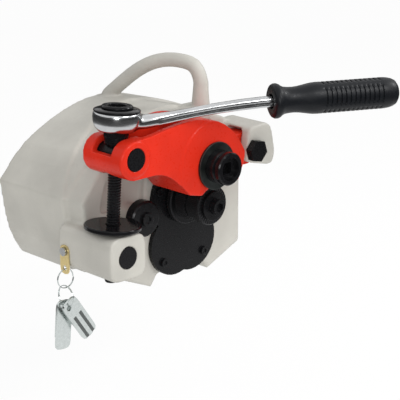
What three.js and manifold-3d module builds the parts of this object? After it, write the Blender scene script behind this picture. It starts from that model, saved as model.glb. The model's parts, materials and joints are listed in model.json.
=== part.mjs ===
// Pipe roll groover with a hand ratchet, driven by a chuck held on its rear shaft.
// X is to the right, Y to the rear, Z up, in millimetres.
// Places are measured from the drive axis, where it meets the plane the pipe end rests on.
import * as THREE from 'three';
import { mergeVertices } from 'three/addons/utils/BufferGeometryUtils.js';
import Module from 'manifold-3d';

const wasm = await Module();
wasm.setup();

// Clearances and walls
const seat = 0.3;
const running = 0.4;
const overrun = 5;
const castWall = 8;
const hoodWall = 6;

// Pipe that the tool is set for, used only to place the rolls
const pipeRadius = 57.15;
const pipeWall = 6.02;
const grooveDepth = 2.1;
const pipeOffset = 5;
const grooveWidth = 8.7;
const grooveCentre = -20.25;

// Drive roll and shaft
const driveRollRadius = 23;
const driveRollLength = 38;
const driveFlangeRadius = 30;
const driveFlangeLength = 6;
const driveGrooveDepth = 2.4;
const driveGrooveSlack = 0.8;
const rollSeatRadius = 12;
const collarRadius = 20;
const bearingBore = 17.5;
const bearingOuter = 31;
const bearingLength = 14;
const chuckShankRadius = 15;
const chuckFlatDepth = 2.5;
const chuckShankLength = 62;
const shaftRear = 165;
const keyWidth = 6;
const keyHeight = 4;
const rollBoltRadius = 6;
const rollBoltHead = 9;
const rollBoltDepth = 24;
const rollWasherRadius = 17;
const rollWasherThick = 3;

// Housing
const hoodHalfWidth = 154;
const hoodRear = 157;
const hoodCrestRear = 99;
const hoodCrestFront = 107;
const hoodSkirt = 72.5;
const hoodSideFront = 42.3;
const hoodTopFront = 100;
const wallFront = 16;
const wallThick = 14;
const blockRear = 112;
const chinDrop = 101;
const hubRadius = 40;
const hubRear = 82;
const frontBearingAt = 20;
const rearBearingAt = 62;

// Feed ear, its trunnion and the screw, which leans to the right at its top
const screwInset = 26;
const screwX = screwInset - hoodHalfWidth;
const screwY = -18.5;
const screwLean = 4;
const screwRadius = 7.5;
const screwLow = -64;
const screwHoleSlack = 0.8;
const trunnionRadius = 12.4;
const trunnionsApart = 109.5;
const lowTrunnionFront = -45.4;
const lowTrunnionRear = 1.5;
const earHalf = 25;
const earCorner = 12;
const earTop = -4;
const earRear = 42;
const earSlot = 11;

// Arm
const pivotInset = 76;
const pivotX = hoodHalfWidth - pivotInset;
const pivotZ = 49;
const armFront = -52.4;
const frontWebThick = 10.4;
const rearWebFront = -2;
const armRear = 9.4;
const trunnionZ = 81;
const forkRear = 11;
const armBossRadius = 21.5;
const armBossDrop = 1.5;
const armEyeRadius = 20;
const headRadius = 46;
const headRise = 57;
const pipeGap = 3.4;

// Groove roll
const rollX = -10;
const rollZ = 52.5;
const rollSide = 1.2;
const rollStep = 0.6;
const rollShaftRadius = 10;
const needleOuter = 16;
const thrustRadius = 27.3;
const rollRoom = 28.9;
const thrustThick = 3;
const hubBaseRadius = 19;
const hubNeckRadius = 16.6;
const hubEndRadius = 18.8;
const hubLength = 20.5;
const hubBoreRadius = 13;
const hubBoreDepth = 6;
const driveSquare = 12.7;
const driveSquareDepth = 14;

// Ratchet
const headLow = 106.5;
const headHigh = 128;
const ratchetRadius = 26.3;
const gearRadius = 17.5;
const gearTeeth = 36;
const gearTooth = 1.2;
const hexFlats = 24;
const hexTop = 131;
const handleAngle = 26;
const handleReach = 328;
const gripStart = 176;
const gripRadius = 17.8;
const shankRise = 9;
const capThick = 3;
const dialThick = 3.4;

// Small parts
const discRadius = 32;
const discThick = 5;
const guideX = -78;
const guideZ = -5;
const guideRadius = 21;
const guideFace = -12;
const guideLength = 14.3;
const pivotBolt = 8;
const pivotHex = 24;
const pivotHexTurn = 18;
const pivotHexThick = 9;
const bushWall = 2.7;
const tubeRadius = 8.4;

const round = 28;
const fine = 36;
const small = 16;

// Materials
function finish(color, roughness, metalness) {
  return () => new THREE.MeshStandardMaterial({ color, roughness, metalness });
}
const castGrey = finish(0xbdb9ae, 0.55, 0.1);
const armRed = finish(0xe23a1e, 0.4, 0.0);
const blackSteel = finish(0x1c1d1f, 0.4, 0.6);
const plainSteel = finish(0x8f9496, 0.35, 0.9);
const chrome = finish(0xdfe3e6, 0.12, 1.0);
const rubber = finish(0x1b1d1f, 0.8, 0.0);
const bronze = finish(0xa77b3d, 0.4, 0.8);
const brass = finish(0xd8bd74, 0.35, 0.8);
const zinc = finish(0xa9b2b0, 0.35, 0.8);

// Solids from three.js geometry
function solid(geometry) {
  const bare = geometry.clone();
  bare.deleteAttribute('normal');
  bare.deleteAttribute('uv');
  const merged = mergeVertices(bare);
  const at = merged.attributes.position.array;
  const index = merged.index.array;
  const keep = [];
  let volume = 0;
  for (let i = 0; i < index.length; i += 3) {
    const [a, b, c] = [index[i], index[i + 1], index[i + 2]];
    if (a === b || b === c || a === c) continue;
    keep.push(a, b, c);
    const [pa, pb, pc] = [a, b, c].map((k) => new THREE.Vector3().fromArray(at, 3 * k));
    volume += pa.dot(pb.cross(pc));
  }
  if (volume < 0) keep.reverse();
  const mesh = new wasm.Mesh({
    numProp: 3,
    vertProperties: Float32Array.from(at),
    triVerts: Uint32Array.from(keep),
  });
  return new wasm.Manifold(mesh);
}

function outlineShape(points) {
  return new THREE.Shape(points.map(([a, b]) => new THREE.Vector2(a, b)));
}

function extruded(points, depth) {
  return new THREE.ExtrudeGeometry(outlineShape(points), { depth, bevelEnabled: false });
}

// Prism of an outline in X and Z, from one Y to the next
function prismY(points, y0, y1) {
  return solid(extruded(points, y1 - y0).rotateX(Math.PI / 2).translate(0, y1, 0));
}

function prismZ(points, z0, z1) {
  return solid(extruded(points, z1 - z0).translate(0, 0, z0));
}

function prismX(points, x0, x1) {
  const turn = new THREE.Matrix4().set(0, 0, 1, x0, 1, 0, 0, 0, 0, 1, 0, 0, 0, 0, 0, 1);
  return solid(extruded(points, x1 - x0).applyMatrix4(turn));
}

function slab(x0, x1, y0, y1, z0, z1) {
  const box = new THREE.BoxGeometry(x1 - x0, y1 - y0, z1 - z0);
  return solid(box.translate((x0 + x1) / 2, (y0 + y1) / 2, (z0 + z1) / 2));
}

// Turned about a line along Y; the profile lists radius and Y
function turnedY(profile, x, z, segments = round) {
  const points = profile.map(([r, y]) => new THREE.Vector2(r, y));
  return solid(new THREE.LatheGeometry(points, segments).translate(x, 0, z));
}

// Turned about a line along Z; the profile lists radius and Z
function turnedZ(profile, x, y, segments = round) {
  const points = profile.map(([r, z]) => new THREE.Vector2(r, z));
  return solid(new THREE.LatheGeometry(points, segments).rotateX(Math.PI / 2).translate(x, y, 0));
}

function rodY(radius, y0, y1, x, z, segments = round) {
  return turnedY([[0, y0], [radius, y0], [radius, y1], [0, y1]], x, z, segments);
}

function rodZ(radius, z0, z1, x, y, segments = round) {
  return turnedZ([[0, z0], [radius, z0], [radius, z1], [0, z1]], x, y, segments);
}

function ringY(inner, outer, y0, y1, x, z, segments = round) {
  return turnedY([[inner, y0], [outer, y0], [outer, y1], [inner, y1], [inner, y0]], x, z, segments);
}

function ringZ(inner, outer, z0, z1, x, y, segments = round) {
  return turnedZ([[inner, z0], [outer, z0], [outer, z1], [inner, z1], [inner, z0]], x, y, segments);
}

function hexOutline(flats, cx, cz, turned = 0) {
  const points = [];
  for (let i = 0; i < 6; i += 1) {
    const angle = (i + 0.5) * Math.PI / 3 + turned * Math.PI / 180;
    const reach = flats / 2 / Math.cos(Math.PI / 6);
    points.push([cx + reach * Math.cos(angle), cz + reach * Math.sin(angle)]);
  }
  return points;
}

// Outline whose corners are rounded; each point may carry its own radius
function rounded(points, radius, steps = 3) {
  const out = [];
  points.forEach((point, i) => {
    const before = points[(i + points.length - 1) % points.length];
    const after = points[(i + 1) % points.length];
    const r = point[2] ?? radius;
    const here = new THREE.Vector2(point[0], point[1]);
    const back = new THREE.Vector2(before[0], before[1]).sub(here);
    const on = new THREE.Vector2(after[0], after[1]).sub(here);
    const half = Math.acos(back.clone().normalize().dot(on.clone().normalize())) / 2;
    const cut = Math.min(r / Math.tan(half), back.length() / 2, on.length() / 2);
    const start = here.clone().add(back.setLength(cut));
    const end = here.clone().add(on.setLength(cut));
    const curve = new THREE.QuadraticBezierCurve(start, here, end);
    curve.getPoints(steps).forEach((p) => out.push([p.x, p.y]));
  });
  return out;
}

function arc(cx, cz, radius, from, to, steps) {
  const points = [];
  for (let i = 0; i <= steps; i += 1) {
    const angle = (from + (to - from) * i / steps) * Math.PI / 180;
    points.push([cx + radius * Math.cos(angle), cz + radius * Math.sin(angle)]);
  }
  return points;
}

// Closed body through rings of points, with a flat cap at each end
function loft(rings) {
  const count = rings[0].length;
  const at = rings.flat().map((p) => [p.x, p.y, p.z]).flat();
  const index = [];
  for (let k = 0; k + 1 < rings.length; k += 1) {
    for (let i = 0; i < count; i += 1) {
      const [a, b] = [k * count + i, k * count + (i + 1) % count];
      index.push(a, b, b + count, a, b + count, a + count);
    }
  }
  const capped = [[0, true], [rings.length - 1, false]];
  capped.forEach(([k, turned]) => {
    const ring = rings[k];
    const normal = new THREE.Vector3();
    for (let i = 0; i < count; i += 1) {
      normal.add(ring[i].clone().sub(ring[0]).cross(ring[(i + 1) % count].clone().sub(ring[0])));
    }
    normal.normalize();
    const across = ring[1].clone().sub(ring[0]).normalize();
    const up = normal.clone().cross(across);
    const flat = ring.map((p) => new THREE.Vector2(p.dot(across), p.dot(up)));
    THREE.ShapeUtils.triangulateShape(flat, []).forEach(([a, b, c]) => {
      const base = k * count;
      if (turned) index.push(base + a, base + c, base + b);
      else index.push(base + a, base + b, base + c);
    });
  });
  const geometry = new THREE.BufferGeometry();
  geometry.setAttribute('position', new THREE.Float32BufferAttribute(at, 3));
  geometry.setIndex(index);
  return solid(geometry);
}

// Bar along a curve, of changing half width and half height
function bar(curve, side, widths, heights, steps, sides) {
  const rings = [];
  for (let k = 0; k <= steps; k += 1) {
    const share = k / steps;
    const centre = curve.getPointAt(share);
    const along = curve.getTangentAt(share);
    const up = along.clone().cross(side).normalize();
    const ring = [];
    for (let i = 0; i < sides; i += 1) {
      const angle = 2 * Math.PI * i / sides;
      const out = side.clone().multiplyScalar(Math.cos(angle) * widths(share));
      ring.push(centre.clone().add(out).add(up.clone().multiplyScalar(Math.sin(angle) * heights(share))));
    }
    rings.push(ring);
  }
  return loft(rings);
}

// Leans a body built upright about the upper trunnion, as the screw leans
function leaned(body) {
  return body.translate([-screwX, 0, -trunnionZ]).rotate([0, screwLean, 0]).translate([screwX, 0, trunnionZ]);
}

function leanedX(z) {
  return screwX + (z - trunnionZ) * Math.sin(screwLean * Math.PI / 180);
}

function leanedZ(z) {
  return trunnionZ + (z - trunnionZ) * Math.cos(screwLean * Math.PI / 180);
}

const uprightLowZ = trunnionZ - trunnionsApart;
const lowTrunnionX = leanedX(uprightLowZ);
const lowTrunnionZ = leanedZ(uprightLowZ);

const tool = new THREE.Group();
tool.position.set(0, -shaftRear, 0);

function add(name, body, material) {
  const mesh = body.getMesh();
  const geometry = new THREE.BufferGeometry();
  geometry.setAttribute('position', new THREE.BufferAttribute(mesh.vertProperties, 3));
  geometry.setIndex(new THREE.BufferAttribute(mesh.triVerts, 1));
  geometry.computeVertexNormals();
  const piece = new THREE.Mesh(geometry, material());
  piece.name = name;
  tool.add(piece);
}

// Sections of the housing: an arch over the chuck, open below
const archShares = [[-1, 0.22], [-0.75, 0.61], [-0.36, 0.9], [0, 1]];
const sideShares = [[-0.815, 1], [-0.894, 0.72], [-0.947, 0.42], [-0.98, 0]];

function archPoints(crest) {
  const low = sideShares.map(([w, d]) => new THREE.Vector2(w * hoodHalfWidth, -d * hoodSkirt));
  const high = archShares.map(([w, h]) => new THREE.Vector2(w * hoodHalfWidth, h * crest));
  const mirrored = high.slice(0, -1).reverse().map((p) => new THREE.Vector2(-p.x, p.y));
  const side = new THREE.SplineCurve([...low, high[0]]).getPoints(5);
  const top = new THREE.SplineCurve([...high, ...mirrored]).getPoints(18);
  const left = side.slice(0, -1);
  const right = left.slice().reverse().map((p) => new THREE.Vector2(-p.x, p.y));
  return [...left, ...top, ...right];
}

function insetPoints(points, wall) {
  return points.map((p, i) => {
    const before = points[Math.max(i - 1, 0)];
    const after = points[Math.min(i + 1, points.length - 1)];
    const along = after.clone().sub(before).normalize();
    return new THREE.Vector2(p.x + along.y * wall, p.y - along.x * wall);
  });
}

function section(crest, wall, y, bottom) {
  const arch = insetPoints(archPoints(crest), wall);
  const all = [...arch.map((p) => [p.x, p.y]), ...bottom];
  return all.map(([x, z]) => new THREE.Vector3(x, y, z));
}

function crestAt(y) {
  const share = (hoodRear - y) / (hoodRear - wallFront);
  return hoodCrestRear + (hoodCrestFront - hoodCrestRear) * share;
}

function archBody(wall, y0, y1, bottom) {
  return loft([section(crestAt(y0), wall, y0, bottom), section(crestAt(y1), wall, y1, bottom)]);
}

const footX = 46;
const archFootX = 36;
const archFootDrop = 87;
const archDrop = 79;
const chin = [
  [footX, -chinDrop],
  [archFootX, -archFootDrop],
  ...arc(0, -archFootDrop, archFootX / 2, 0, 180, 6).map(([x, z]) => [
    x, -archFootDrop + (z + archFootDrop) * (archFootDrop - archDrop) / (archFootX / 2),
  ]),
  [-archFootX, -archFootDrop],
  [-footX, -chinDrop],
];

// The right side steps in below the pivot lug
const sideReach = 22;
const sideInset = pivotX + sideReach;
const sideRear = 66;
const farDown = -hoodSkirt * 3;
const farOut = hoodHalfWidth * 1.1;

function sideRoom() {
  return slab(sideInset, farOut, -overrun, sideRear, farDown, lugLow);
}

function sideWalls(y0, y1) {
  const inner = sideInset - castWall;
  const walls = slab(inner, sideInset, y0, y1, farDown, lugLow + castWall)
    .add(slab(inner, farOut, y0, y1, lugLow, lugLow + castWall));
  if (y1 < sideRear) return walls;
  return walls.add(slab(inner, farOut, sideRear, y1, farDown, lugLow + castWall));
}

// Front casting
const cavityShare = 0.7;

function housingFront() {
  const block = archBody(hoodWall + seat, wallFront, earRear, chin);
  const cavityEdge = hoodHalfWidth * cavityShare;
  const cavityFloor = [[cavityEdge, -hoodSkirt + castWall], [-cavityEdge, -hoodSkirt + castWall]];
  const cavity = archBody(hoodWall + castWall, wallFront + wallThick, earRear + overrun, cavityFloor);
  const hub = rodY(hubRadius, wallFront + wallThick / 2, hubRear, 0, 0, fine);
  let body = block.subtract(cavity.subtract(sideWalls(wallFront, earRear))).subtract(sideRoom());
  body = body.subtract(prismY(recessOutline, wallFront - overrun, wallFront + recessDepth));
  body = body.add(hub).add(feedEar()).add(pivotLug()).add(guideBoss()).add(handlePad());
  body = body.subtract(bearingBores()).subtract(pivotHoles()).subtract(feedHoles());
  body = body.subtract(plateScrews(plateScrewRadius + seat, wallFront - overrun, wallFront + wallThick / 2));
  body = body.subtract(rodY(guideShank + seat, guideFace, guideStudEnd + seat, guideX, guideZ, small));
  return body.subtract(tabHole());
}

// Shallow recess of the front wall between the feed ear and the arm
const recessDepth = 7;
const recessShares = [
  [-0.79, 0.03], [-0.735, 0.32], [-0.62, 0.58], [-0.41, 0.62], [-0.33, 0.45],
  [-0.365, 0.19], [-0.39, -0.22], [-0.65, -0.28], [-0.695, 0.03],
];
const recessOutline = rounded(
  recessShares.map(([w, h]) => [w * hoodHalfWidth, h * hoodCrestFront]), castWall);

function feedEar() {
  const outline = rounded([
    [lowTrunnionX - earHalf, earTop],
    [lowTrunnionX - earHalf, lowTrunnionZ - earHalf],
    [lowTrunnionX + earHalf, lowTrunnionZ - earHalf],
    [lowTrunnionX + earHalf, earTop],
  ], earCorner);
  return prismY(outline, lowTrunnionFront - seat, earRear);
}

const lugFront = -28;
const lugThick = 12;
const lugTop = 80;
const lugReach = 37;
const lugRight = pivotX + lugReach;
const lugLeft = pivotX - 1.5 * castWall;
const lugLow = 28;
const lugSlope = 6;
const eyeFront = lugFront + lugThick + seat * 2;
const linkRise = 3;

function pivotLug() {
  const outline = rounded([
    [lugLeft, pivotZ - castWall],
    [lugLeft + castWall, lugLow + lugSlope],
    [lugRight - castWall / 2, lugLow - lugSlope / 2],
    [lugRight, pivotZ - castWall],
    [lugRight - castWall, lugTop, castWall * 2],
    [lugLeft + castWall / 2, lugTop - castWall / 2],
  ], castWall);
  let body = prismY(outline, lugFront, wallFront + wallThick);
  const gapFront = lugFront + lugThick;
  const gapRear = armRear + seat;
  const gapRadius = armEyeRadius + running * 3;
  body = body.subtract(rodY(gapRadius, gapFront, gapRear, pivotX, pivotZ, fine));
  const roof = pivotZ + gapRadius + linkRise;
  body = body.subtract(
    slab(lugLeft - overrun, pivotX, gapFront, gapRear, lugLow - overrun, roof)
      .add(slab(pivotX - overrun, pivotX + gapRadius, gapFront, gapRear, lugLow - overrun, pivotZ)),
  );
  const rearBoss = rodY(armEyeRadius, gapRear, wallFront + wallThick / 2, pivotX, pivotZ, round);
  return body.add(rearBoss);
}

const guideShank = 5;
const guideStudDepth = 10;
const guideStudEnd = wallFront + guideStudDepth;
const guideBossRadius = 11;

function guideBoss() {
  const front = guideFace + guideLength + seat;
  return rodY(guideBossRadius, front, wallFront + wallThick / 2, guideX, guideZ, round);
}

// Carry handle: a bent bar from the rear of the arch to a pad above the front wall
const handleRearY = 141;
const handleFrontX = 35;
const handleFrontY = 17;
const padTop = 101;
const padHalf = 13;
const handleSide = new THREE.Vector3(handleRearY - handleFrontY, handleFrontX, 0).normalize();

function handlePad() {
  return slab(
    handleFrontX - padHalf, handleFrontX + padHalf,
    wallFront - 10 * seat, earRear,
    padTop - castWall * 2, padTop,
  );
}

// Shares of the way from the front foot to the rear one, and of the rise above the pad
const handleRise = 51.5;
const handleShares = [
  [1, -0.25], [1, -0.08], [0.81, 0.39], [0.6, 0.765], [0.42, 0.95], [0.23, 1],
  [0.065, 0.91], [0, 0.6], [0, 0.33], [0, 0.005],
];
const handleFlare = 2.6;
const frontFlareShare = 0.2;
const rearFlareShare = 0.12;

function carryHandle() {
  const points = handleShares.map(([back, rise]) => new THREE.Vector3(
    handleFrontX * (1 - back), handleFrontY + back * (handleRearY - handleFrontY), padTop + rise * handleRise,
  ));
  const curve = new THREE.CatmullRomCurve3(points, false, 'centripetal');
  const radii = (share) => tubeRadius
    + handleFlare * Math.max(0, (share - 1 + frontFlareShare) / frontFlareShare) ** 2
    + handleFlare * Math.max(0, (rearFlareShare - share) / rearFlareShare);
  const reach = pipeRadius;
  const keep = slab(-reach, reach, 0, hoodRear, 0, padTop * 2);
  const foot = slab(-reach, reach, 0, hoodRear / 2, 0, padTop + seat);
  const shell = archBody(-seat, 0, hoodRear + overrun, []);
  const rearHalf = slab(-reach, reach, hoodRear / 2, hoodRear, 0, padTop * 2);
  const tube = bar(curve, handleSide, radii, radii, 28, 14);
  return tube.intersect(keep).subtract(foot).subtract(shell.intersect(rearHalf));
}

// Hood over the chuck
const mouthShare = 0.75;
const rimShares = [[1, 0], [0.85, 0.3], [0.7, 0.5], [0.5, 0.74], [0.31, 1]];

function housingHood() {
  const deep = -hoodSkirt * 1.5;
  const low = [[hoodHalfWidth * mouthShare, deep], [-hoodHalfWidth * mouthShare, deep]];
  const narrow = [[hoodHalfWidth * cavityShare, deep], [-hoodHalfWidth * cavityShare, deep]];
  const wallRear = sideRear + castWall;
  const rearRoom = archBody(hoodWall, blockRear - overrun, hoodRear + overrun, low)
    .intersect(slab(-farOut, farOut, blockRear, hoodRear + 2 * overrun, farDown, -farDown));
  const frontRoom = archBody(hoodWall + castWall, hoodSideFront - overrun, blockRear + overrun, narrow)
    .subtract(sideWalls(hoodSideFront, wallRear));
  const outer = archBody(0, hoodSideFront, hoodRear, []);
  const liner = archBody(hoodWall / 2, hoodSideFront, blockRear, []);
  const rim = rimShares.map(([w, d]) => new THREE.Vector2(
    -w * hoodHalfWidth, hoodSideFront + d * (hoodTopFront - hoodSideFront),
  ));
  const left = new THREE.SplineCurve(rim).getPoints(12).map((p) => [p.x, p.y]);
  const right = left.slice().reverse().map(([x, y]) => [-x, y]);
  const front = hoodSideFront - overrun;
  const cut = [
    [-farOut, front], [-farOut, hoodSideFront], ...left, ...right, [farOut, hoodSideFront], [farOut, front],
  ];
  const shell = outer.subtract(prismZ(cut, -hoodSkirt * 2, hoodCrestFront * 2));
  return shell.add(liner).subtract(rearRoom).subtract(frontRoom).subtract(sideRoom());
}

// Holes of the front casting
function bearingBores() {
  const through = rodY(collarRadius + running * 2, wallFront - overrun, hubRear + overrun, 0, 0, fine);
  const bore = rodY(bearingOuter + seat, frontBearingAt, hubRear + overrun, 0, 0, fine);
  return through.add(bore);
}

function pivotHoles() {
  return rodY(pivotBolt + seat, lugFront - overrun, wallFront + wallThick + overrun, pivotX, pivotZ, round);
}

function feedHoles() {
  const bore = rodY(trunnionRadius + seat, lowTrunnionFront - overrun, lowTrunnionRear + seat,
    lowTrunnionX, lowTrunnionZ);
  const slot = rodZ(earSlot, uprightLowZ - earHalf - overrun, earTop + 2 * overrun, screwX, screwY, round);
  return bore.add(leaned(slot));
}

const plateThick = 5.7;
const plateRadius = 48.3;
const plateLobeX = 13;
const plateLobeZ = -54;
const plateLobeRadius = 38;
const plateScrewRadius = 3;
const plateScrewHead = 5;
const plateScrewSpots = [[-32, -73], [32, -73], [-38, 14], [38, 14]];

function plateScrews(radius, y0, y1) {
  const rods = plateScrewSpots.map(([x, z]) => rodY(radius, y0, y1, x, z, small));
  return rods.reduce((a, b) => a.add(b));
}

function facePlate() {
  const front = wallFront - seat - plateThick;
  const rear = wallFront - seat;
  let body = rodY(plateRadius, front, rear, 0, 0, fine);
  [-1, 1].forEach((side) => {
    body = body.add(rodY(plateLobeRadius, front, rear, side * plateLobeX, plateLobeZ, fine));
  });
  body = body.subtract(rodY(collarRadius + running * 2, front - overrun, rear + overrun, 0, 0, fine));
  body = body.subtract(rodY(headRadius / 2, front - overrun, rear + overrun, rollX, rollZ, round));
  return body.subtract(plateScrews(plateScrewRadius + seat, front - overrun, rear + overrun));
}

const earFace = lowTrunnionX - earHalf;
const tabHoleZ = -33;
const tabY = 31;
const tabScrewRadius = 2.5;
const tabScrewDepth = 12;

function rodX(radius, x0, x1, y, z, segments = small) {
  const points = [[0, x0], [radius, x0], [radius, x1], [0, x1]].map(([r, h]) => new THREE.Vector2(r, h));
  const lathe = new THREE.LatheGeometry(points, segments);
  return solid(lathe.rotateZ(-Math.PI / 2).translate(0, y, z));
}

function tabHole() {
  return rodX(tabScrewRadius + seat, earFace - overrun, earFace + tabScrewDepth + seat, tabY, tabHoleZ);
}

add('housing_front', housingFront(), castGrey);
add('chuck_hood', housingHood(), castGrey);
add('carry_handle', carryHandle(), castGrey);
add('face_plate', facePlate(), blackSteel);

// Screws of the face plate
const plateNames = ['lower_left', 'lower_right', 'upper_left', 'upper_right'];
plateScrewSpots.forEach(([x, z], i) => {
  const face = wallFront - seat - plateThick - seat;
  const head = rodY(plateScrewHead, face - plateScrewRadius, face, x, z, small);
  const shank = rodY(plateScrewRadius, face - plateScrewRadius / 2, wallFront + wallThick / 2 - seat,
    x, z, small);
  const socket = prismY(hexOutline(plateScrewHead, x, z), face - overrun, face - plateScrewRadius / 2);
  add(`plate_screw_${plateNames[i]}`, head.add(shank).subtract(socket), blackSteel);
});

// Drive line
function driveRoll() {
  const deep = driveRollRadius - driveGrooveDepth;
  const halfGroove = grooveWidth / 2 + driveGrooveSlack;
  const bevel = driveGrooveDepth / 2;
  const body = turnedY([
    [rollSeatRadius + seat, -driveRollLength],
    [driveRollRadius - bevel, -driveRollLength],
    [driveRollRadius, -driveRollLength + bevel],
    [driveRollRadius, grooveCentre - halfGroove],
    [deep, grooveCentre - halfGroove],
    [deep, grooveCentre + halfGroove],
    [driveRollRadius, grooveCentre + halfGroove],
    [driveRollRadius, 0],
    [driveFlangeRadius - bevel, 0],
    [driveFlangeRadius, bevel],
    [driveFlangeRadius, driveFlangeLength],
    [rollSeatRadius + seat, driveFlangeLength],
    [rollSeatRadius + seat, -driveRollLength],
  ], 0, 0, fine);
  const halfKey = keyWidth / 2 + seat;
  const top = rollSeatRadius + keyHeight / 2 + seat;
  return body.subtract(slab(-halfKey, halfKey,
    -driveRollLength - overrun, driveFlangeLength + overrun, 0, top));
}
add('drive_roll', driveRoll(), blackSteel);

const keyFront = -driveRollLength * 0.8;
const keyRear = -driveRollLength * 0.1;
const keyLow = rollSeatRadius - keyHeight / 2;

function driveShaft() {
  const shoulder = driveFlangeLength + seat;
  const frontStep = frontBearingAt - seat;
  const rearEnd = rearBearingAt + bearingLength + seat;
  const shankFrom = shaftRear - chuckShankLength;
  let body = turnedY([
    [0, -driveRollLength + seat],
    [rollSeatRadius, -driveRollLength + seat],
    [rollSeatRadius, shoulder],
    [collarRadius, shoulder],
    [collarRadius, frontStep],
    [bearingBore, frontStep],
    [bearingBore, rearEnd + clipThick + seat],
    [chuckShankRadius, rearEnd + clipThick + seat],
    [chuckShankRadius, shaftRear],
    [0, shaftRear],
  ], 0, 0, fine);
  body = body.subtract(ringY(clipInner, bearingBore + overrun, rearEnd, rearEnd + clipThick, 0, 0, round));
  for (let i = 0; i < 3; i += 1) {
    const flat = slab(-chuckShankRadius, chuckShankRadius, shankFrom, shaftRear + overrun,
      chuckShankRadius - chuckFlatDepth, chuckShankRadius + overrun);
    body = body.subtract(flat.rotate([0, 120 * i, 0]));
  }
  const halfKey = keyWidth / 2 + seat;
  body = body.subtract(slab(-halfKey, halfKey, keyFront - seat, keyRear + seat,
    keyLow - seat, rollSeatRadius + overrun));
  return body.subtract(rodY(rollBoltRadius + seat, -driveRollLength - overrun,
    -driveRollLength + rollBoltDepth + seat, 0, 0, small));
}
const shaftClipDepth = 1.5;
const clipInner = bearingBore - shaftClipDepth;
const clipThick = 2;
add('drive_shaft', driveShaft(), plainSteel);
add('drive_key', slab(-keyWidth / 2, keyWidth / 2, keyFront, keyRear,
  keyLow, rollSeatRadius + keyHeight / 2), plainSteel);

const washerRear = -driveRollLength - seat;
const washerFront = washerRear - rollWasherThick;
add('roll_washer', ringY(rollBoltRadius + seat, rollWasherRadius, washerFront, washerRear, 0, 0), blackSteel);

const boltFace = washerFront - seat;
const boltHeadLength = 8;
const boltSocket = 10;
const rollBolt = rodY(rollBoltHead, boltFace - boltHeadLength, boltFace, 0, 0)
  .add(rodY(rollBoltRadius, boltFace - boltHeadLength / 2, -driveRollLength + rollBoltDepth, 0, 0, small))
  .subtract(prismY(hexOutline(boltSocket, 0, 0),
    boltFace - boltHeadLength - overrun, boltFace - boltHeadLength / 2));
add('roll_bolt', rollBolt, blackSteel);

function bearing(y0) {
  const [inner, outer] = [bearingBore + seat, bearingOuter];
  const race = (outer - inner) / 4;
  const dish = 0.8;
  const y1 = y0 + bearingLength;
  return turnedY([
    [inner, y0], [inner + race, y0], [inner + race, y0 + dish], [outer - race, y0 + dish],
    [outer - race, y0], [outer, y0], [outer, y1], [outer - race, y1], [outer - race, y1 - dish],
    [inner + race, y1 - dish], [inner + race, y1], [inner, y1], [inner, y0],
  ], 0, 0, round);
}
add('front_bearing', bearing(frontBearingAt + seat), plainSteel);
add('rear_bearing', bearing(rearBearingAt), plainSteel);
const spacerWall = 4;
add('bearing_spacer', ringY(bearingOuter - spacerWall, bearingOuter,
  frontBearingAt + bearingLength + 2 * seat, rearBearingAt - seat, 0, 0), plainSteel);
add('shaft_clip', ringY(clipInner + seat, bearingBore + spacerWall, rearBearingAt + bearingLength + 2 * seat,
  rearBearingAt + bearingLength + clipThick, 0, 0, round), blackSteel);

// Arm: its outline is given in shares of the reach from trunnion to roll,
// and of the head's rise over the roll
const armReach = rollX - screwX;
const armTopShares = [
  [0.19, 0.87], [0.38, 0.93], [0.67, 1], [0.86, 0.965],
  [1.07, 0.845], [1.24, 0.61], [1.35, 0.34], [1.41, 0.13],
];
const armTipShares = [[1.4, -0.045], [1.365, -0.22]];
const armUnderShares = [[0.67, -0.48], [0.55, -0.22], [0.415, -0.01], [0.265, 0.09]];
const bellyFrom = 68;
const bellyTo = 126;

function armPoint([reach, rise]) {
  return [screwX + reach * armReach, rollZ + rise * headRise];
}

function splined(points, steps) {
  const curve = new THREE.SplineCurve(points.map(([x, z]) => new THREE.Vector2(x, z)));
  return curve.getPoints(steps).map((p) => [p.x, p.y]);
}

function armOutline() {
  const bossZ = trunnionZ - armBossDrop;
  const top = splined([[screwX, bossZ + armBossRadius], ...armTopShares.map(armPoint)], 18);
  const belly = arc(pipeOffset, -driveDrop, pipeRadius + pipeGap, bellyFrom, bellyTo, 12);
  const under = splined([...armUnderShares.map(armPoint), [screwX, bossZ - armBossRadius]], 9);
  return [...top, ...armTipShares.map(armPoint), ...belly, ...under];
}
const driveDrop = pipeRadius - pipeWall - driveRollRadius;

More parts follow.
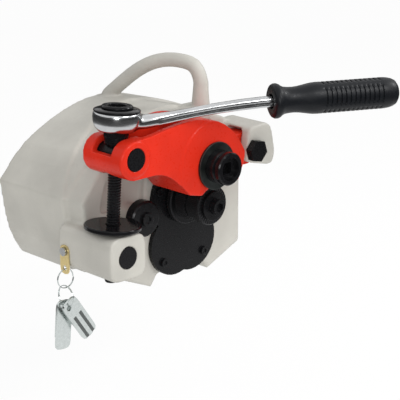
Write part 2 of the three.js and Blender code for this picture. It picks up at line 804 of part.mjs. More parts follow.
function feedArm() {
  const outline = armOutline();
  const neckFront = armFront + bossStep;
  let body = prismY(outline, neckFront, armRear);
  const headBoss = rodY(headBossRadius, armFront, bossRear, rollX, rollZ, 48);
  body = body.add(headBoss.intersect(prismY(outline, armFront - overrun, armRear)));
  body = body.add(rodY(armBossRadius, neckFront, forkRear, screwX, trunnionZ - armBossDrop, fine));
  body = body.add(rodY(pinBossRadius, armFront, bossRear, screwX, trunnionZ, fine));
  body = body.add(rodY(armEyeRadius, eyeFront, armRear, pivotX, pivotZ, fine));
  const link = [
    [rollX + headRadius * linkShare, rollZ + linkHalf], [pivotX, pivotZ + armEyeRadius],
    [pivotX, pivotZ - armEyeRadius], [rollX + headRadius, pivotZ - linkHalf],
    [rollX + headRadius * linkShare, rollZ - linkHalf],
  ];
  body = body.add(prismY(link, eyeFront, armRear));
  const webRear = armFront + frontWebThick;
  // Roll space, open below
  const rollSpace = rodY(rollRoom, webRear, rearWebFront, rollX, rollZ, fine)
    .add(slab(rollX - rollRoom, rollX + rollRoom, webRear, rearWebFront, 0, rollZ));
  body = body.subtract(rollSpace);
  // Channel between the two webs, open above
  const channel = rounded(channelShares.map(armPoint), castWall);
  body = body.subtract(prismY(channel, webRear, rearWebFront));
  // Pocket and slot for the screw
  const pocket = rounded([
    [screwX - armBossRadius - overrun, screwY - pocketHalf], [screwX + pocketReach, screwY - pocketHalf],
    [screwX + pocketReach, screwY + pocketHalf], [screwX - armBossRadius - overrun, screwY + pocketHalf],
  ], castWall / 2);
  body = body.subtract(prismZ(pocket, trunnionZ + pocketFloor, trunnionZ + 2 * armBossRadius));
  const slot = rodZ(slotRadius, trunnionZ - 2 * armBossRadius, trunnionZ, screwX, screwY, round);
  body = body.subtract(leaned(slot));
  // Bores
  body = body.subtract(rodY(trunnionRadius + seat, armFront - overrun, forkRear + overrun,
    screwX, trunnionZ));
  body = body.subtract(rodY(needleOuter + seat, armFront - overrun, armRear + overrun, rollX, rollZ, round));
  return body.subtract(rodY(pivotBolt + bushWall + 2 * seat, eyeFront - overrun, armRear + overrun,
    pivotX, pivotZ));
}
const bossStep = 1.7;
const headBossRadius = 52.5;
const pinBossRadius = 19.2;
const bossRear = armFront + frontWebThick / 2;
const linkShare = 0.65;
const linkHalf = 13;
const channelShares = [[0.13, 1.2], [0.695, 1.2], [0.695, 0.69], [0.56, 0.235], [0.3, 0.27], [0.13, 0.375]];
const pocketHalf = 15.5;
const pocketReach = 19;
const pocketFloor = 4;
const slotRadius = 12.5;
add('feed_arm', feedArm(), armRed);
add('arm_bush', ringY(pivotBolt + seat, pivotBolt + bushWall + seat, eyeFront, armRear,
  pivotX, pivotZ), bronze);

// Pivot bolt through the lug and the arm's eye
const nutFront = wallFront + wallThick + 2 * seat + rollWasherThick;
const pivotNutThick = 13;
const boltHex = hexOutline(pivotHex, pivotX, pivotZ, pivotHexTurn);
const boltHead = prismY(boltHex, lugFront - seat - pivotHexThick, lugFront - seat);
const pivotShankRear = nutFront + pivotNutThick + seat * 10;
const pivotShank = rodY(pivotBolt, lugFront - pivotHexThick / 2, pivotShankRear, pivotX, pivotZ, 32);
add('pivot_bolt', boltHead.add(pivotShank), blackSteel);
add('pivot_washer', ringY(pivotBolt + seat, pivotHex * 0.6, wallFront + wallThick + seat,
  wallFront + wallThick + seat + rollWasherThick, pivotX, pivotZ, 32), plainSteel);
add('pivot_nut', prismY(hexOutline(pivotHex, pivotX, pivotZ), nutFront, nutFront + pivotNutThick)
  .subtract(rodY(pivotBolt + seat, nutFront - overrun, nutFront + pivotNutThick + overrun,
    pivotX, pivotZ, 32)), plainSteel);

// Groove roll
const ridgeRadius = Math.hypot(rollX - pipeOffset, rollZ + driveDrop) - pipeRadius + grooveDepth;
const rollFront = armFront + frontWebThick + rollSide;
const rollRear = rearWebFront - rollSide;

function grooveRoll() {
  const low = ridgeRadius - grooveDepth - rollStep;
  const half = grooveWidth / 2;
  const ease = grooveDepth / 3;
  const body = turnedY([
    [rollShaftRadius + seat, rollFront],
    [low - ease, rollFront],
    [low, rollFront + ease],
    [low, grooveCentre - half - ease],
    [ridgeRadius, grooveCentre - half + ease],
    [ridgeRadius, grooveCentre + half - ease],
    [low, grooveCentre + half + ease],
    [low, rollRear - ease],
    [low - ease, rollRear],
    [rollShaftRadius + seat, rollRear],
    [rollShaftRadius + seat, rollFront],
  ], rollX, rollZ, fine);
  const halfKey = keyWidth / 2 + seat;
  return body.subtract(slab(rollX - halfKey, rollX + halfKey, rollFront - overrun, rollRear + overrun,
    rollZ, rollZ + rollShaftRadius + keyHeight / 2 + seat));
}
add('groove_roll', grooveRoll(), blackSteel);

const rollKeyLow = rollZ + rollShaftRadius - keyHeight / 2;
const rollKeyFront = rollFront + keyWidth;
const rollKeyRear = rollRear - keyWidth;
add('groove_roll_key', slab(rollX - keyWidth / 2, rollX + keyWidth / 2, rollKeyFront, rollKeyRear,
  rollKeyLow, rollZ + rollShaftRadius + keyHeight / 2), plainSteel);

const thrustRear = armFront - seat;
const thrustFront = thrustRear - thrustThick;
const rollShaftRear = armRear + clipThick + 2 * seat;

function rollShaft() {
  const base = thrustFront - seat;
  const tip = base - hubLength;
  const neck = hubLength * hubRimShare;
  let body = turnedY([
    [0, tip],
    [hubEndRadius - hubBevel, tip],
    [hubEndRadius, tip + hubBevel],
    [hubEndRadius, tip + neck],
    [hubNeckRadius, tip + neck + hubBevel],
    [hubNeckRadius, tip + neck + 2 * hubBevel],
    [hubBaseRadius, tip + neck + 3 * hubBevel],
    [hubBaseRadius, base],
    [rollShaftRadius, base],
    [rollShaftRadius, rollShaftRear],
    [0, rollShaftRear],
  ], rollX, rollZ, fine);
  body = body.subtract(turnedY([
    [0, tip - overrun], [hubBoreRadius, tip - overrun], [hubBoreRadius, tip + hubBoreDepth],
    [0, tip + hubBoreDepth]], rollX, rollZ, round));
  const half = driveSquare / 2;
  body = body.subtract(slab(rollX - half, rollX + half, tip, tip + driveSquareDepth,
    rollZ - half, rollZ + half));
  const halfKey = keyWidth / 2 + seat;
  body = body.subtract(slab(rollX - halfKey, rollX + halfKey, rollKeyFront - seat, rollKeyRear + seat,
    rollKeyLow - seat, rollZ + rollShaftRadius + overrun));
  return body.subtract(ringY(rollShaftRadius - clipGroove, rollShaftRadius + overrun, armRear + seat,
    armRear + seat + clipThick, rollX, rollZ, round));
}
const clipGroove = 1.2;
const hubBevel = 1.4;
const hubRimShare = 0.3;
add('roll_shaft', rollShaft(), blackSteel);
add('thrust_washer', ringY(rollShaftRadius + seat, thrustRadius, thrustFront, thrustRear,
  rollX, rollZ, fine), plainSteel);
add('front_needle_bearing', ringY(rollShaftRadius + seat, needleOuter, armFront + seat,
  armFront + frontWebThick, rollX, rollZ), plainSteel);
add('rear_needle_bearing', ringY(rollShaftRadius + seat, needleOuter, rearWebFront, armRear,
  rollX, rollZ), plainSteel);
add('roll_clip', ringY(rollShaftRadius - clipGroove + seat, rollShaftRadius + spacerWall,
  armRear + 1.5 * seat,
  armRear + clipThick, rollX, rollZ), blackSteel);

// Trunnions
const screwHole = screwRadius + screwHoleSlack;
const flatDrop = 0.6;
function trunnion(front, rear, z) {
  return rodY(trunnionRadius, front, rear, screwX, z)
    .subtract(rodZ(screwHole, z - 2 * trunnionRadius, z + 2 * trunnionRadius, screwX, screwY, fine));
}
const trunnionFlat = trunnionZ + trunnionRadius - flatDrop;
const flatHalf = pocketHalf - 2 * seat;
const upperTrunnion = trunnion(armFront, forkRear, trunnionZ)
  .subtract(slab(screwX - trunnionRadius, screwX + trunnionRadius, screwY - flatHalf, screwY + flatHalf,
    trunnionFlat, trunnionZ + 2 * trunnionRadius));
add('upper_trunnion', leaned(upperTrunnion), blackSteel);
add('lower_trunnion', leaned(trunnion(lowTrunnionFront, lowTrunnionRear, uprightLowZ)), blackSteel);

// Feed screw with its hexagon head
const washerLow = trunnionFlat + seat;
const screwWasherThick = 2;
const screwWasherRadius = 13;
const collarHeight = 6;
const screwHeadLow = washerLow + screwWasherThick + seat;
const clipUnder = trunnionZ - trunnionRadius - seat;

function feedScrew() {
  const bevel = 1.2;
  const shank = turnedZ([
    [0, screwLow], [screwRadius - bevel, screwLow], [screwRadius, screwLow + bevel],
    [screwRadius, screwHeadLow + bevel], [0, screwHeadLow + bevel],
  ], screwX, screwY, fine);
  const collar = rodZ(screwWasherRadius, screwHeadLow, screwHeadLow + collarHeight, screwX, screwY, round);
  const hex = prismZ(hexOutline(hexFlats, screwX, screwY), screwHeadLow + collarHeight / 2, hexTop);
  const groove = ringZ(screwRadius - clipGroove, screwRadius + overrun, clipUnder - clipThick, clipUnder,
    screwX, screwY, fine);
  return leaned(shank.subtract(groove).add(collar).add(hex));
}
add('feed_screw', feedScrew(), blackSteel);
const screwWasher = ringZ(screwHole, screwWasherRadius, washerLow, washerLow + screwWasherThick,
  screwX, screwY, fine);
add('screw_washer', leaned(screwWasher), plainSteel);
const screwClip = ringZ(screwRadius - clipGroove + seat, screwRadius + 1.5 * clipThick,
  clipUnder - clipThick + seat,
  clipUnder - seat / 2, screwX, screwY, fine);
add('screw_clip', leaned(screwClip), plainSteel);

// Depth disc on the screw, clear of the ear although the screw leans
const discLift = 2.4;
const discLow = earTop + discLift;
const discBevel = 1;
const indexDisc = turnedZ([
  [screwHole, discLow], [discRadius - discBevel, discLow], [discRadius, discLow + discBevel],
  [discRadius, discLow + discThick - discBevel], [discRadius - discBevel, discLow + discThick],
  [screwHole, discLow + discThick], [screwHole, discLow],
], screwX, screwY, fine);
add('index_disc', leaned(indexDisc), blackSteel);

// Ratchet gear on the hexagon
const gearRise = 2;
const gearLow = headLow + gearRise;
const gearHigh = headHigh - seat;
function ratchetGear() {
  const points = [];
  for (let i = 0; i < gearTeeth; i += 1) {
    const pitch = 2 * Math.PI / gearTeeth;
    points.push([screwX + gearRadius * Math.cos(i * pitch), screwY + gearRadius * Math.sin(i * pitch)]);
    const root = gearRadius - gearTooth;
    points.push([screwX + root * Math.cos((i + 0.5) * pitch), screwY + root * Math.sin((i + 0.5) * pitch)]);
  }
  return prismZ(points, gearLow, gearHigh)
    .subtract(prismZ(hexOutline(hexFlats + 2 * seat, screwX, screwY), gearLow - overrun, gearHigh + overrun));
}
add('ratchet_gear', leaned(ratchetGear()), plainSteel);

// Ratchet head and handle; the head leans with the screw and the handle lies level
const turn = handleAngle * Math.PI / 180;
const shankHeadRise = 9.5;
const shankHeadZ = headLow + shankHeadRise;
const shankX = leanedX(shankHeadZ);
const shankZ = shankHeadZ + shankRise;
function alongHandle(reach, z) {
  return new THREE.Vector3(shankX + reach * Math.cos(turn), screwY - reach * Math.sin(turn), z);
}
const gearRoom = gearRadius + running * 2;
const pawlFrom = gearRoom + seat;
const pawlLength = 6;
const pawlHalf = 6;
const pawlRoomEnd = 33;
const pawlRise = 2.5;
const pawlLow = gearLow + pawlRise;
const pawlHigh = headHigh - 2 * pawlRise;

function handleBlock(from, to, half, z0, z1) {
  const block = new THREE.BoxGeometry(to - from, 2 * half, z1 - z0)
    .translate((from + to) / 2, 0, (z0 + z1) / 2);
  return solid(block.rotateZ(-turn).translate(screwX, screwY, 0));
}

// Shares of the head's radius and of its height
const headShares = [
  [0, 0], [0.66, 0], [0.81, 0.12], [0.93, 0.34], [1, 0.66], [1, 0.82], [0.96, 1], [0, 1],
];
// Shares of the way to the grip and of the shank's rise
const shankShares = [
  [0.07, -0.3], [0.19, -0.22], [0.35, 0.12], [0.57, 0.62], [0.85, 1.02], [1, 1.11], [1.34, 1.11],
];
const shankWidths = [9.5, 6.6, 7.4];
const shankHeights = [5.4, 5.5, 6.2];
const neckShare = 0.3;

// Sizes at the head, at the neck and in the grip
function shankSize([root, waist, tip]) {
  return (share) => (share < neckShare
    ? root + (waist - root) * share / neckShare
    : waist + (tip - waist) * (share - neckShare) / (1 - neckShare));
}

function ratchetBody() {
  const headTall = headHigh - headLow;
  const outline = headShares.map(([r, h]) => [r * ratchetRadius, headLow + h * headTall]);
  const points = shankShares.map(([way, rise]) => (
    alongHandle(way * gripStart, shankHeadZ + rise * shankRise)));
  const curve = new THREE.CatmullRomCurve3(points, false, 'centripetal');
  const sideways = new THREE.Vector3(Math.sin(turn), Math.cos(turn), 0);
  const shank = bar(curve, sideways, shankSize(shankWidths), shankSize(shankHeights), 16, 16);
  const above = leaned(slab(screwX - ratchetRadius, screwX + 2 * ratchetRadius, screwY - 2 * ratchetRadius,
    screwY + ratchetRadius, headHigh, headHigh + ratchetRadius));
  const head = leaned(turnedZ(outline, screwX, screwY, fine));
  const gearHole = rodZ(gearRoom, gearLow - seat, headHigh + overrun, screwX, screwY, fine);
  const collarHole = rodZ(screwWasherRadius + 4 * seat, headLow - overrun, headHigh, screwX, screwY, round);
  const pawlRoom = handleBlock(gearRadius / 2, pawlRoomEnd, pawlHalf + seat, pawlLow - seat, pawlHigh + seat);
  return head.add(shank).subtract(above).subtract(leaned(gearHole.add(collarHole).add(pawlRoom)));
}
add('ratchet_body', ratchetBody(), chrome);
const pawl = handleBlock(pawlFrom, pawlFrom + pawlLength, pawlHalf, pawlLow, pawlHigh);
add('ratchet_pawl', leaned(pawl), plainSteel);

const springRadius = 2.5;
const springWire = 1;
const springFrom = pawlFrom + pawlLength + seat;
const springMiddle = (pawlLow + pawlHigh) / 2;
function pawlSpring() {
  const length = pawlRoomEnd - seat - springFrom;
  const inner = springRadius - springWire;
  const ring = [[inner, 0], [springRadius, 0], [springRadius, length], [inner, length], [inner, 0]];
  const tube = new THREE.LatheGeometry(ring.map(([r, h]) => new THREE.Vector2(r, h)), small);
  tube.rotateZ(-Math.PI / 2).translate(springFrom, 0, springMiddle);
  return leaned(solid(tube.rotateZ(-turn).translate(screwX, screwY, 0)));
}
add('pawl_spring', pawlSpring(), plainSteel);

const capLow = headHigh + seat;
const capLip = 1.5;
const capInner = screwWasherRadius + capLip;
const capOuter = ratchetRadius - capLip / 2;
const ratchetCap = turnedZ([
  [capInner, capLow], [capOuter, capLow], [capOuter, capLow + 0.6 * capThick],
  [capOuter - capThick, capLow + capThick],
  [capInner, capLow + capThick], [capInner, capLow],
], screwX, screwY, fine);
add('ratchet_cap', leaned(ratchetCap), blackSteel);
const dialLow = capLow + capThick + seat;
const dialInner = 10;
const dialOuter = capInner + 2 * capLip;
const reverseDial = turnedZ([
  [dialInner, dialLow], [dialOuter, dialLow], [dialOuter, dialLow + dialThick / 2],
  [dialOuter - capLip, dialLow + dialThick], [dialInner + capLip / 2, dialLow + dialThick],
  [dialInner, dialLow + dialThick - capLip / 2], [dialInner, dialLow],
], screwX, screwY, fine);
add('reverse_dial', leaned(reverseDial), blackSteel);

// Rubber grip over the handle's end, in shares of its length and of its radius
const gripShares = [
  [0, 0], [0, 0.72], [0.01, 0.98], [0.028, 1.1], [0.05, 1.09], [0.07, 0.97], [0.105, 0.85], [0.17, 0.81],
  [0.25, 0.87], [0.31, 0.98], [0.36, 1], [0.85, 1],
  [0.91, 0.98], [0.965, 0.91], [0.988, 0.75], [1, 0.5], [1, 0],
];
const gripLift = 1;
const boreShare = 0.4;

function laidAlong(geometry) {
  return solid(geometry.rotateZ(-Math.PI / 2).translate(gripStart, 0, 0).rotateZ(-turn)
    .translate(shankX, screwY, shankZ + gripLift));
}

function ratchetGrip() {
  const full = handleReach - gripStart;
  const outline = gripShares.map(([way, r]) => new THREE.Vector2(r * gripRadius, way * full));
  const bore = shankWidths[2] + seat * 2;
  const hole = [[0, -overrun], [bore, -overrun], [bore, boreShare * full], [0, boreShare * full]];
  return laidAlong(new THREE.LatheGeometry(outline, 24))
    .subtract(laidAlong(new THREE.LatheGeometry(hole.map(([r, h]) => new THREE.Vector2(r, h)), 20)));
}
add('ratchet_grip', ratchetGrip(), rubber);

// Guide roller on its shoulder screw
const guideBore = guideShank + running;
const guideBevel = 2;
const guideRear = guideFace + guideLength;
const guideRoller = turnedY([
  [guideBore, guideFace], [guideRadius - guideBevel, guideFace], [guideRadius, guideFace + guideBevel],
  [guideRadius, guideRear - guideBevel], [guideRadius - guideBevel, guideRear],
  [guideBore, guideRear], [guideBore, guideFace],
], guideX, guideZ, round);
add('guide_roller', guideRoller, blackSteel);
const studHead = 8;
const studHeadLength = 3;
const studFace = guideFace - seat - studHeadLength;
const studSocket = prismY(hexOutline(studHead, guideX, guideZ),
  studFace - overrun, guideFace - studHeadLength / 2);
const guideStud = rodY(studHead, studFace, guideFace - seat, guideX, guideZ, small)
  .add(rodY(guideShank, guideFace - studHeadLength, guideStudEnd, guideX, guideZ, small))
  .subtract(studSocket);
add('guide_stud', guideStud, plainSteel);

// Gauge tab, rings and gauges
const tabFace = earFace - seat;
const tabThick = 1.5;
const ringHoleZ = -52;
const tabHalf = 7.5;
function gaugeTab() {
  const outline = rounded([
    [tabY - tabHalf, ringHoleZ - tabHalf], [tabY + tabHalf, ringHoleZ - tabHalf],
    [tabY + tabHalf, tabHoleZ + tabHalf], [tabY - tabHalf, tabHoleZ + tabHalf],
  ], tabHalf);
  return prismX(outline, tabFace - tabThick, tabFace)
    .subtract(rodX(tabScrewRadius + seat, tabFace - tabThick - overrun, tabFace + overrun, tabY, tabHoleZ))
    .subtract(rodX(tabRingHole, tabFace - tabThick - overrun, tabFace + overrun, tabY, ringHoleZ));
}
const tabRingHole = 3;
add('gauge_tab', gaugeTab(), brass);
const tabOuter = tabFace - tabThick - seat;
add('tab_screw', rodX(tabScrewRadius * 2, tabOuter - tabScrewRadius, tabOuter, tabY, tabHoleZ)
  .add(rodX(tabScrewRadius, tabOuter - tabScrewRadius / 2, earFace + tabScrewDepth,
    tabY, tabHoleZ)), plainSteel);

const wire = 1;
const upperRingRadius = 11;
const lowerRingRadius = 12.5;
const linkSlack = 0.3;
const ringX = tabFace - tabThick / 2;
const upperRingZ = ringHoleZ - tabRingHole + wire + linkSlack - upperRingRadius;
const lowerRingZ = upperRingZ - upperRingRadius + 2 * wire + linkSlack - lowerRingRadius;
function hangingRing(radius, x, y, z, acrossY) {
  const torus = new THREE.TorusGeometry(radius, wire, 6, 24);
  return solid((acrossY ? torus.rotateX(Math.PI / 2) : torus.rotateY(Math.PI / 2)).translate(x, y, z));
}
add('upper_split_ring', hangingRing(upperRingRadius, ringX, tabY, upperRingZ, true), zinc);
add('lower_split_ring', hangingRing(lowerRingRadius, ringX, tabY, lowerRingZ, false), zinc);

// Gauges hang from the lower ring, face to the front
const gaugeWidth = 22;
const gaugeLength = 58;
const gaugeHole = 3.2;
const gaugeHoleDrop = 7.5;
const gaugeApart = 3.6;
const gaugeThick = 3;
const stepDepth = 0.9;
const plateSlack = 1.1;
const flatLean = 5;
const channelLean = -34;
const channelShift = gaugeWidth / 6;
const gaugePin = lowerRingZ - Math.sqrt(lowerRingRadius ** 2 - gaugeApart ** 2);

// A plate hung at its hole and leaned about it; carve cuts its faces before it is hung
function hungPlate(middle, lean, shift, carve) {
  const [front, rear] = [middle - gaugeThick / 2, middle + gaugeThick / 2];
  const half = gaugeWidth / 2;
  const outline = rounded([
    [shift - half, gaugeHoleDrop - gaugeLength], [shift + half, gaugeHoleDrop - gaugeLength],
    [shift + half, gaugeHoleDrop], [shift - half, gaugeHoleDrop],
  ], gaugeHoleDrop, 3);
  const hole = rodY(gaugeHole, front - overrun, rear + overrun, 0, 0, small);
  const body = carve(prismY(outline, front, rear), front, rear).subtract(hole);
  return body.rotate([0, lean, 0]).translate([ringX, 0, gaugePin - gaugeHole + wire + plateSlack]);
}

function steppedFaces(body, front, rear) {
  const frontStep = slab(-gaugeWidth, gaugeWidth, front - overrun, front + stepDepth,
    -gaugeLength, -0.4 * gaugeLength);
  const rearStep = slab(-gaugeWidth, gaugeWidth, rear - stepDepth, rear + overrun,
    -gaugeLength, -0.6 * gaugeLength);
  return body.subtract(frontStep).subtract(rearStep);
}

// Channels between three ridges that run down the face
const grooveShares = [-0.21, 0.21];
const channelHalf = gaugeWidth / 11;

function ridgedFace(body, front) {
  return grooveShares.reduce((left, share) => {
    const middle = channelShift + share * gaugeWidth;
    return left.subtract(slab(middle - channelHalf, middle + channelHalf, front - overrun, front + stepDepth,
      -gaugeLength, -2 * gaugeHoleDrop));
  }, body);
}
add('flat_gauge', hungPlate(tabY + gaugeApart, flatLean, 0, steppedFaces), zinc);
add('channel_gauge', hungPlate(tabY - gaugeApart, channelLean, channelShift, ridgedFace), zinc);

export default tool;
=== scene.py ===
import json
import math

import bmesh
import bpy
from mathutils import Matrix, Vector


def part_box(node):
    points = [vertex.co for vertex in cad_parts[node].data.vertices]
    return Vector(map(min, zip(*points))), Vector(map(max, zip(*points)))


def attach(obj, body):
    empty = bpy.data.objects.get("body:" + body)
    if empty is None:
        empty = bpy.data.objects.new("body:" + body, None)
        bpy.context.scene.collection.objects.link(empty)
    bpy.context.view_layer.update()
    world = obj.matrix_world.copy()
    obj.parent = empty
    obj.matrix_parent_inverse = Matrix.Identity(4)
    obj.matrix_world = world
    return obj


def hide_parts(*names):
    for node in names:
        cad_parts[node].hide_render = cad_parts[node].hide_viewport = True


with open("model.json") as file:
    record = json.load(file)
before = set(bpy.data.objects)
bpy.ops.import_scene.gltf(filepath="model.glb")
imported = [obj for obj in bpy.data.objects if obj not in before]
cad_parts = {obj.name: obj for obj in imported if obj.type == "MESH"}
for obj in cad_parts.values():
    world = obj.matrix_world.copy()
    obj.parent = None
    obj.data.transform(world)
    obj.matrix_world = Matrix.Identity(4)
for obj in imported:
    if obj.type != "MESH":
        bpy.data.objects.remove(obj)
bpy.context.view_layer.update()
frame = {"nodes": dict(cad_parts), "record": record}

bl_info = {
    "name": "Pipe roll groover",
    "version": (1, 0, 0),
    "blender": (4, 5, 0),
    "location": "View3D > Sidebar > Roll groover",
    "description": "Builds the dressed parts of a pipe roll groover over its packed solids",
    "category": "Object",
}

MM = 0.001
WHITE = (1.0, 1.0, 1.0, 1.0)

# Places in millimetres from the drive axis and the pipe stop

SHAFT_REAR = 165.0
SCREW = (-128.0, -18.5)
UPPER_PIN = 81.0
LEAN = math.radians(4.0)
HANDLE_ROOT = (-125.558, -18.5, 126.0)
HANDLE_TURN = math.radians(-26.0)

# The feed screw: heights along it, and radii

SCREW_END = -62.0
THREAD_START = -60.0
THREAD_TOP = 66.0
RUN_OUT_LOW = 64.0
RUN_OUT_TOP = 65.5
TIP_CHAMFER = (0.8, 1.0)
COLLAR_RADIUS = 13.0
COLLAR_LOW = 95.4
COLLAR_TOP = 101.4
COLLAR_CHAMFER = 0.6
HEXAGON_TOP = 131.0
HEXAGON_HEIGHT = 30.5
HEXAGON_FLATS = 24.0
THREAD_FOOT_SHARE = 0.42
THREAD_CREST_SHARE = 0.25
THREAD_SINK = 0.3

# The ratchet's head as radii and heights, bored for the gear, and the neck that joins it to the shank

BORE = 18.7
HEAD_OUTLINE = [
    (14.2, 106.7), (17.6, 106.5), (20.4, 107.4), (22.7, 109.3), (24.4, 112.0), (25.6, 115.4),
    (26.2, 119.2), (26.3, 123.0), (26.0, 126.0), (25.0, 128.0), (BORE, 128.0), (BORE, 108.2),
    (14.2, 108.2), (14.2, 106.7),
]
HEAD_RIM = 123.0
HEAD_SIDE = 26.5
NECK_START = 19.5
NECK_END = 45.0
NECK_PASSES = 45
FORGING_GRAIN = 0.7
FORGING_PASSES = 6

# The shank's sections: how far from the screw, middle height, half width, half height

SHANK_PATH = (
    (19.0, 115.6, 17.0, 6.8), (24.0, 115.0, 15.4, 7.2), (30.0, 114.7, 13.2, 7.3),
    (38.0, 114.9, 10.6, 7.0), (50.0, 115.9, 8.3, 6.3), (65.0, 117.7, 7.1, 5.7),
    (85.0, 120.0, 6.7, 5.5), (110.0, 122.6, 6.9, 5.6), (140.0, 124.7, 7.1, 5.8),
    (165.0, 125.7, 7.2, 5.9), (200.0, 126.0, 7.3, 6.0),
)
SHANK_CORNERS = 32
SHANK_SQUARENESS = 3
FLUTE_DEPTH = 0.16
FLUTE_START = 36.0
FLUTE_RUN_IN = 20.0
FLUTE_HALF = 0.42

# The grip's flange and waist before its ribs, and its end behind them, as radii and reaches

GRIP_FRONT = [
    (0, 184), (8.6, 184), (8.6, 176.6), (11.5, 176.2), (16.2, 176.6), (18.4, 177.8), (19.5, 179.8),
    (19.6, 182.2), (18.6, 184.8), (16.8, 187.0), (15.2, 190.6), (14.5, 196), (14.3, 202), (14.8, 208),
    (15.8, 214), (16.9, 220), (17.6, 225), (17.8, 230),
]
GRIP_BACK = [
    (17.8, 308), (17.6, 312), (17.1, 316.5), (16.0, 321), (14.2, 324.6), (11.0, 327.0), (7.0, 327.9),
    (0, 328),
]
RIB_TOP = 0.58
GROOVE_START = 0.70
GROOVE_END = 0.88
RIB_MARGIN = 1.0
PANEL_WAVES = 2
PANEL_TURN = 0.5
PANEL_EDGE = 0.90
PANEL_BLEND = 0.05
GRIP_ROWS = 32
ROW_DEPTH = 0.35

# Gauges: how much of its full turns a ring's wire fills, and which faces are a channel's floor, which
# get painted shade

RING_FILL = 0.995
CHANNEL_SINK = 0.2
CHANNEL_FACING = -0.9

# Stage: camera and floor in metres, the lights' aim and the dark band in millimetres

CAMERA_PLACE = (-1.0978, -1.2997, 0.4811)
CAMERA_LOOK = (0.6703, 0.6821, -0.2924)
CAMERA_SENSOR = 36.0
CAMERA_CLIP = (0.05, 40.0)
FLOOR_REACH = 4.0
FLOOR_GLOW = 0.93
LIGHT_AIM = (-30.0, 30.0, 20.0)
LEFT_SHARE = 1.2
BAND_INNER = 800.0
BAND_OUTER = 2500.0
BAND_TOP = 750.0
BAND_LIFT = 10.0
BAND_COLOUR = (0.05, 0.05, 0.05, 1.0)


def at(x, y, z):
    """A place in millimetres from the drive axis and pipe stop, as a point in metres."""
    return Vector((x, y - SHAFT_REAR, z)) * MM


# Properties

def colour(name, description, default):
    return bpy.props.FloatVectorProperty(
        name=name, description=description, subtype="COLOR", size=4, min=0.0, max=1.0,
        default=(*default, 1.0),
    )


def length(name, description, default):
    return bpy.props.FloatProperty(
        name=name, description=description, unit="LENGTH", precision=5, default=default,
    )


def power(name, description, default):
    return bpy.props.FloatProperty(name=name, description=description, unit="POWER", default=default)


def count(name, description, default, least):
    return bpy.props.IntProperty(name=name, description=description, default=default, min=least)


class GrooverFinishes(bpy.types.PropertyGroup):
    """Colours of the paints, metals and rubber"""

    casting: colour("Casting paint", "Grey paint on the housing", (0.475, 0.462, 0.420))
    arm: colour("Arm paint", "Red paint on the feed arm", (0.600, 0.024, 0.010))
    oxide: colour("Black oxide", "Blackened steel of rolls, bolts and pins", (0.007, 0.007, 0.008))
    steel: colour("Machined steel", "Bare steel of shaft and bearings", (0.42, 0.43, 0.44))
    washer: colour("Thrust washer", "Dark phosphated washer behind the hub", (0.060, 0.068, 0.066))
    chrome: colour("Chrome", "Plating of the ratchet", (0.55, 0.56, 0.57))
    rubber: colour("Grip rubber", "Black moulded grip", (0.006, 0.007, 0.009))
    bronze: colour("Bronze", "Bush in the arm", (0.48, 0.30, 0.12))
    brass: colour("Tab", "Yellow passivated gauge tab", (0.72, 0.58, 0.28))
    zinc: colour("Zinc", "Gauges and split rings", (0.60, 0.64, 0.63))


class GrooverCastings(bpy.types.PropertyGroup):
    """How the two castings are softened"""

    housing_grain: length("Housing grain", "Size of the cells the housing is rebuilt in", 0.00202)
    housing_passes: count("Housing softness", "Smoothing passes that round the edges", 2, 0)
    arm_grain: length("Arm grain", "Size of the cells the arm is rebuilt in", 0.0011)
    arm_passes: count("Arm softness", "Smoothing passes that round the edges", 1, 0)
    cover: length("Cover", "How far the housing's skin grows to close the gaps", 0.0003)


class GrooverScrew(bpy.types.PropertyGroup):
    """Sizes of the feed screw's thread"""

    pitch: length("Pitch", "Distance from one thread to the next", 0.003)
    crest: length("Crest radius", "Outer radius of the thread", 0.0076)
    root: length("Root radius", "Radius of the core under the thread", 0.0067)
    steps: count("Steps", "Steps in one turn", 20, 8)


class GrooverGrip(bpy.types.PropertyGroup):
    """Sizes of the ratchet's grip"""

    ribs: count("Ribs", "Rings moulded round the grip", 13, 1)
    depth: length("Rib depth", "Depth of the moulded grooves", 0.0014)
    radius: length("Radius", "Radius of the grip over its ribs", 0.0178)
    start: length("Ribs from", "Where the ribs begin along the handle", 0.232)
    end: length("Ribs to", "Where the ribs end along the handle", 0.306)


class GrooverRings(bpy.types.PropertyGroup):
    """Sizes of the split rings"""

    upper: length("Upper ring", "Radius of the upper ring's wire", 0.0110)
    lower: length("Lower ring", "Radius of the lower ring's wire", 0.0125)
    wire: length("Wire", "Half the thickness of the wire", 0.00048)
    turns: count("Turns", "Times that the wire goes round", 2, 1)
    steps: count("Steps", "Steps in one turn", 48, 12)


class GrooverStage(bpy.types.PropertyGroup):
    """Camera, floor and lights"""

    lens: bpy.props.FloatProperty(
        name="Lens", description="Focal length of the camera", unit="CAMERA", default=128.25,
    )
    floor: length("Floor", "Height of the floor", -0.235)
    floor_colour: colour("Floor colour", "Plain pale floor", (0.86, 0.86, 0.85))
    key: power("Key light", "Power of the large light", 15.0)
    fill: power("Fill light", "Power of the side light", 9.0)
    air: bpy.props.FloatProperty(
        name="Air light", description="Strength of the even light", default=0.72,
    )


# Shader helpers

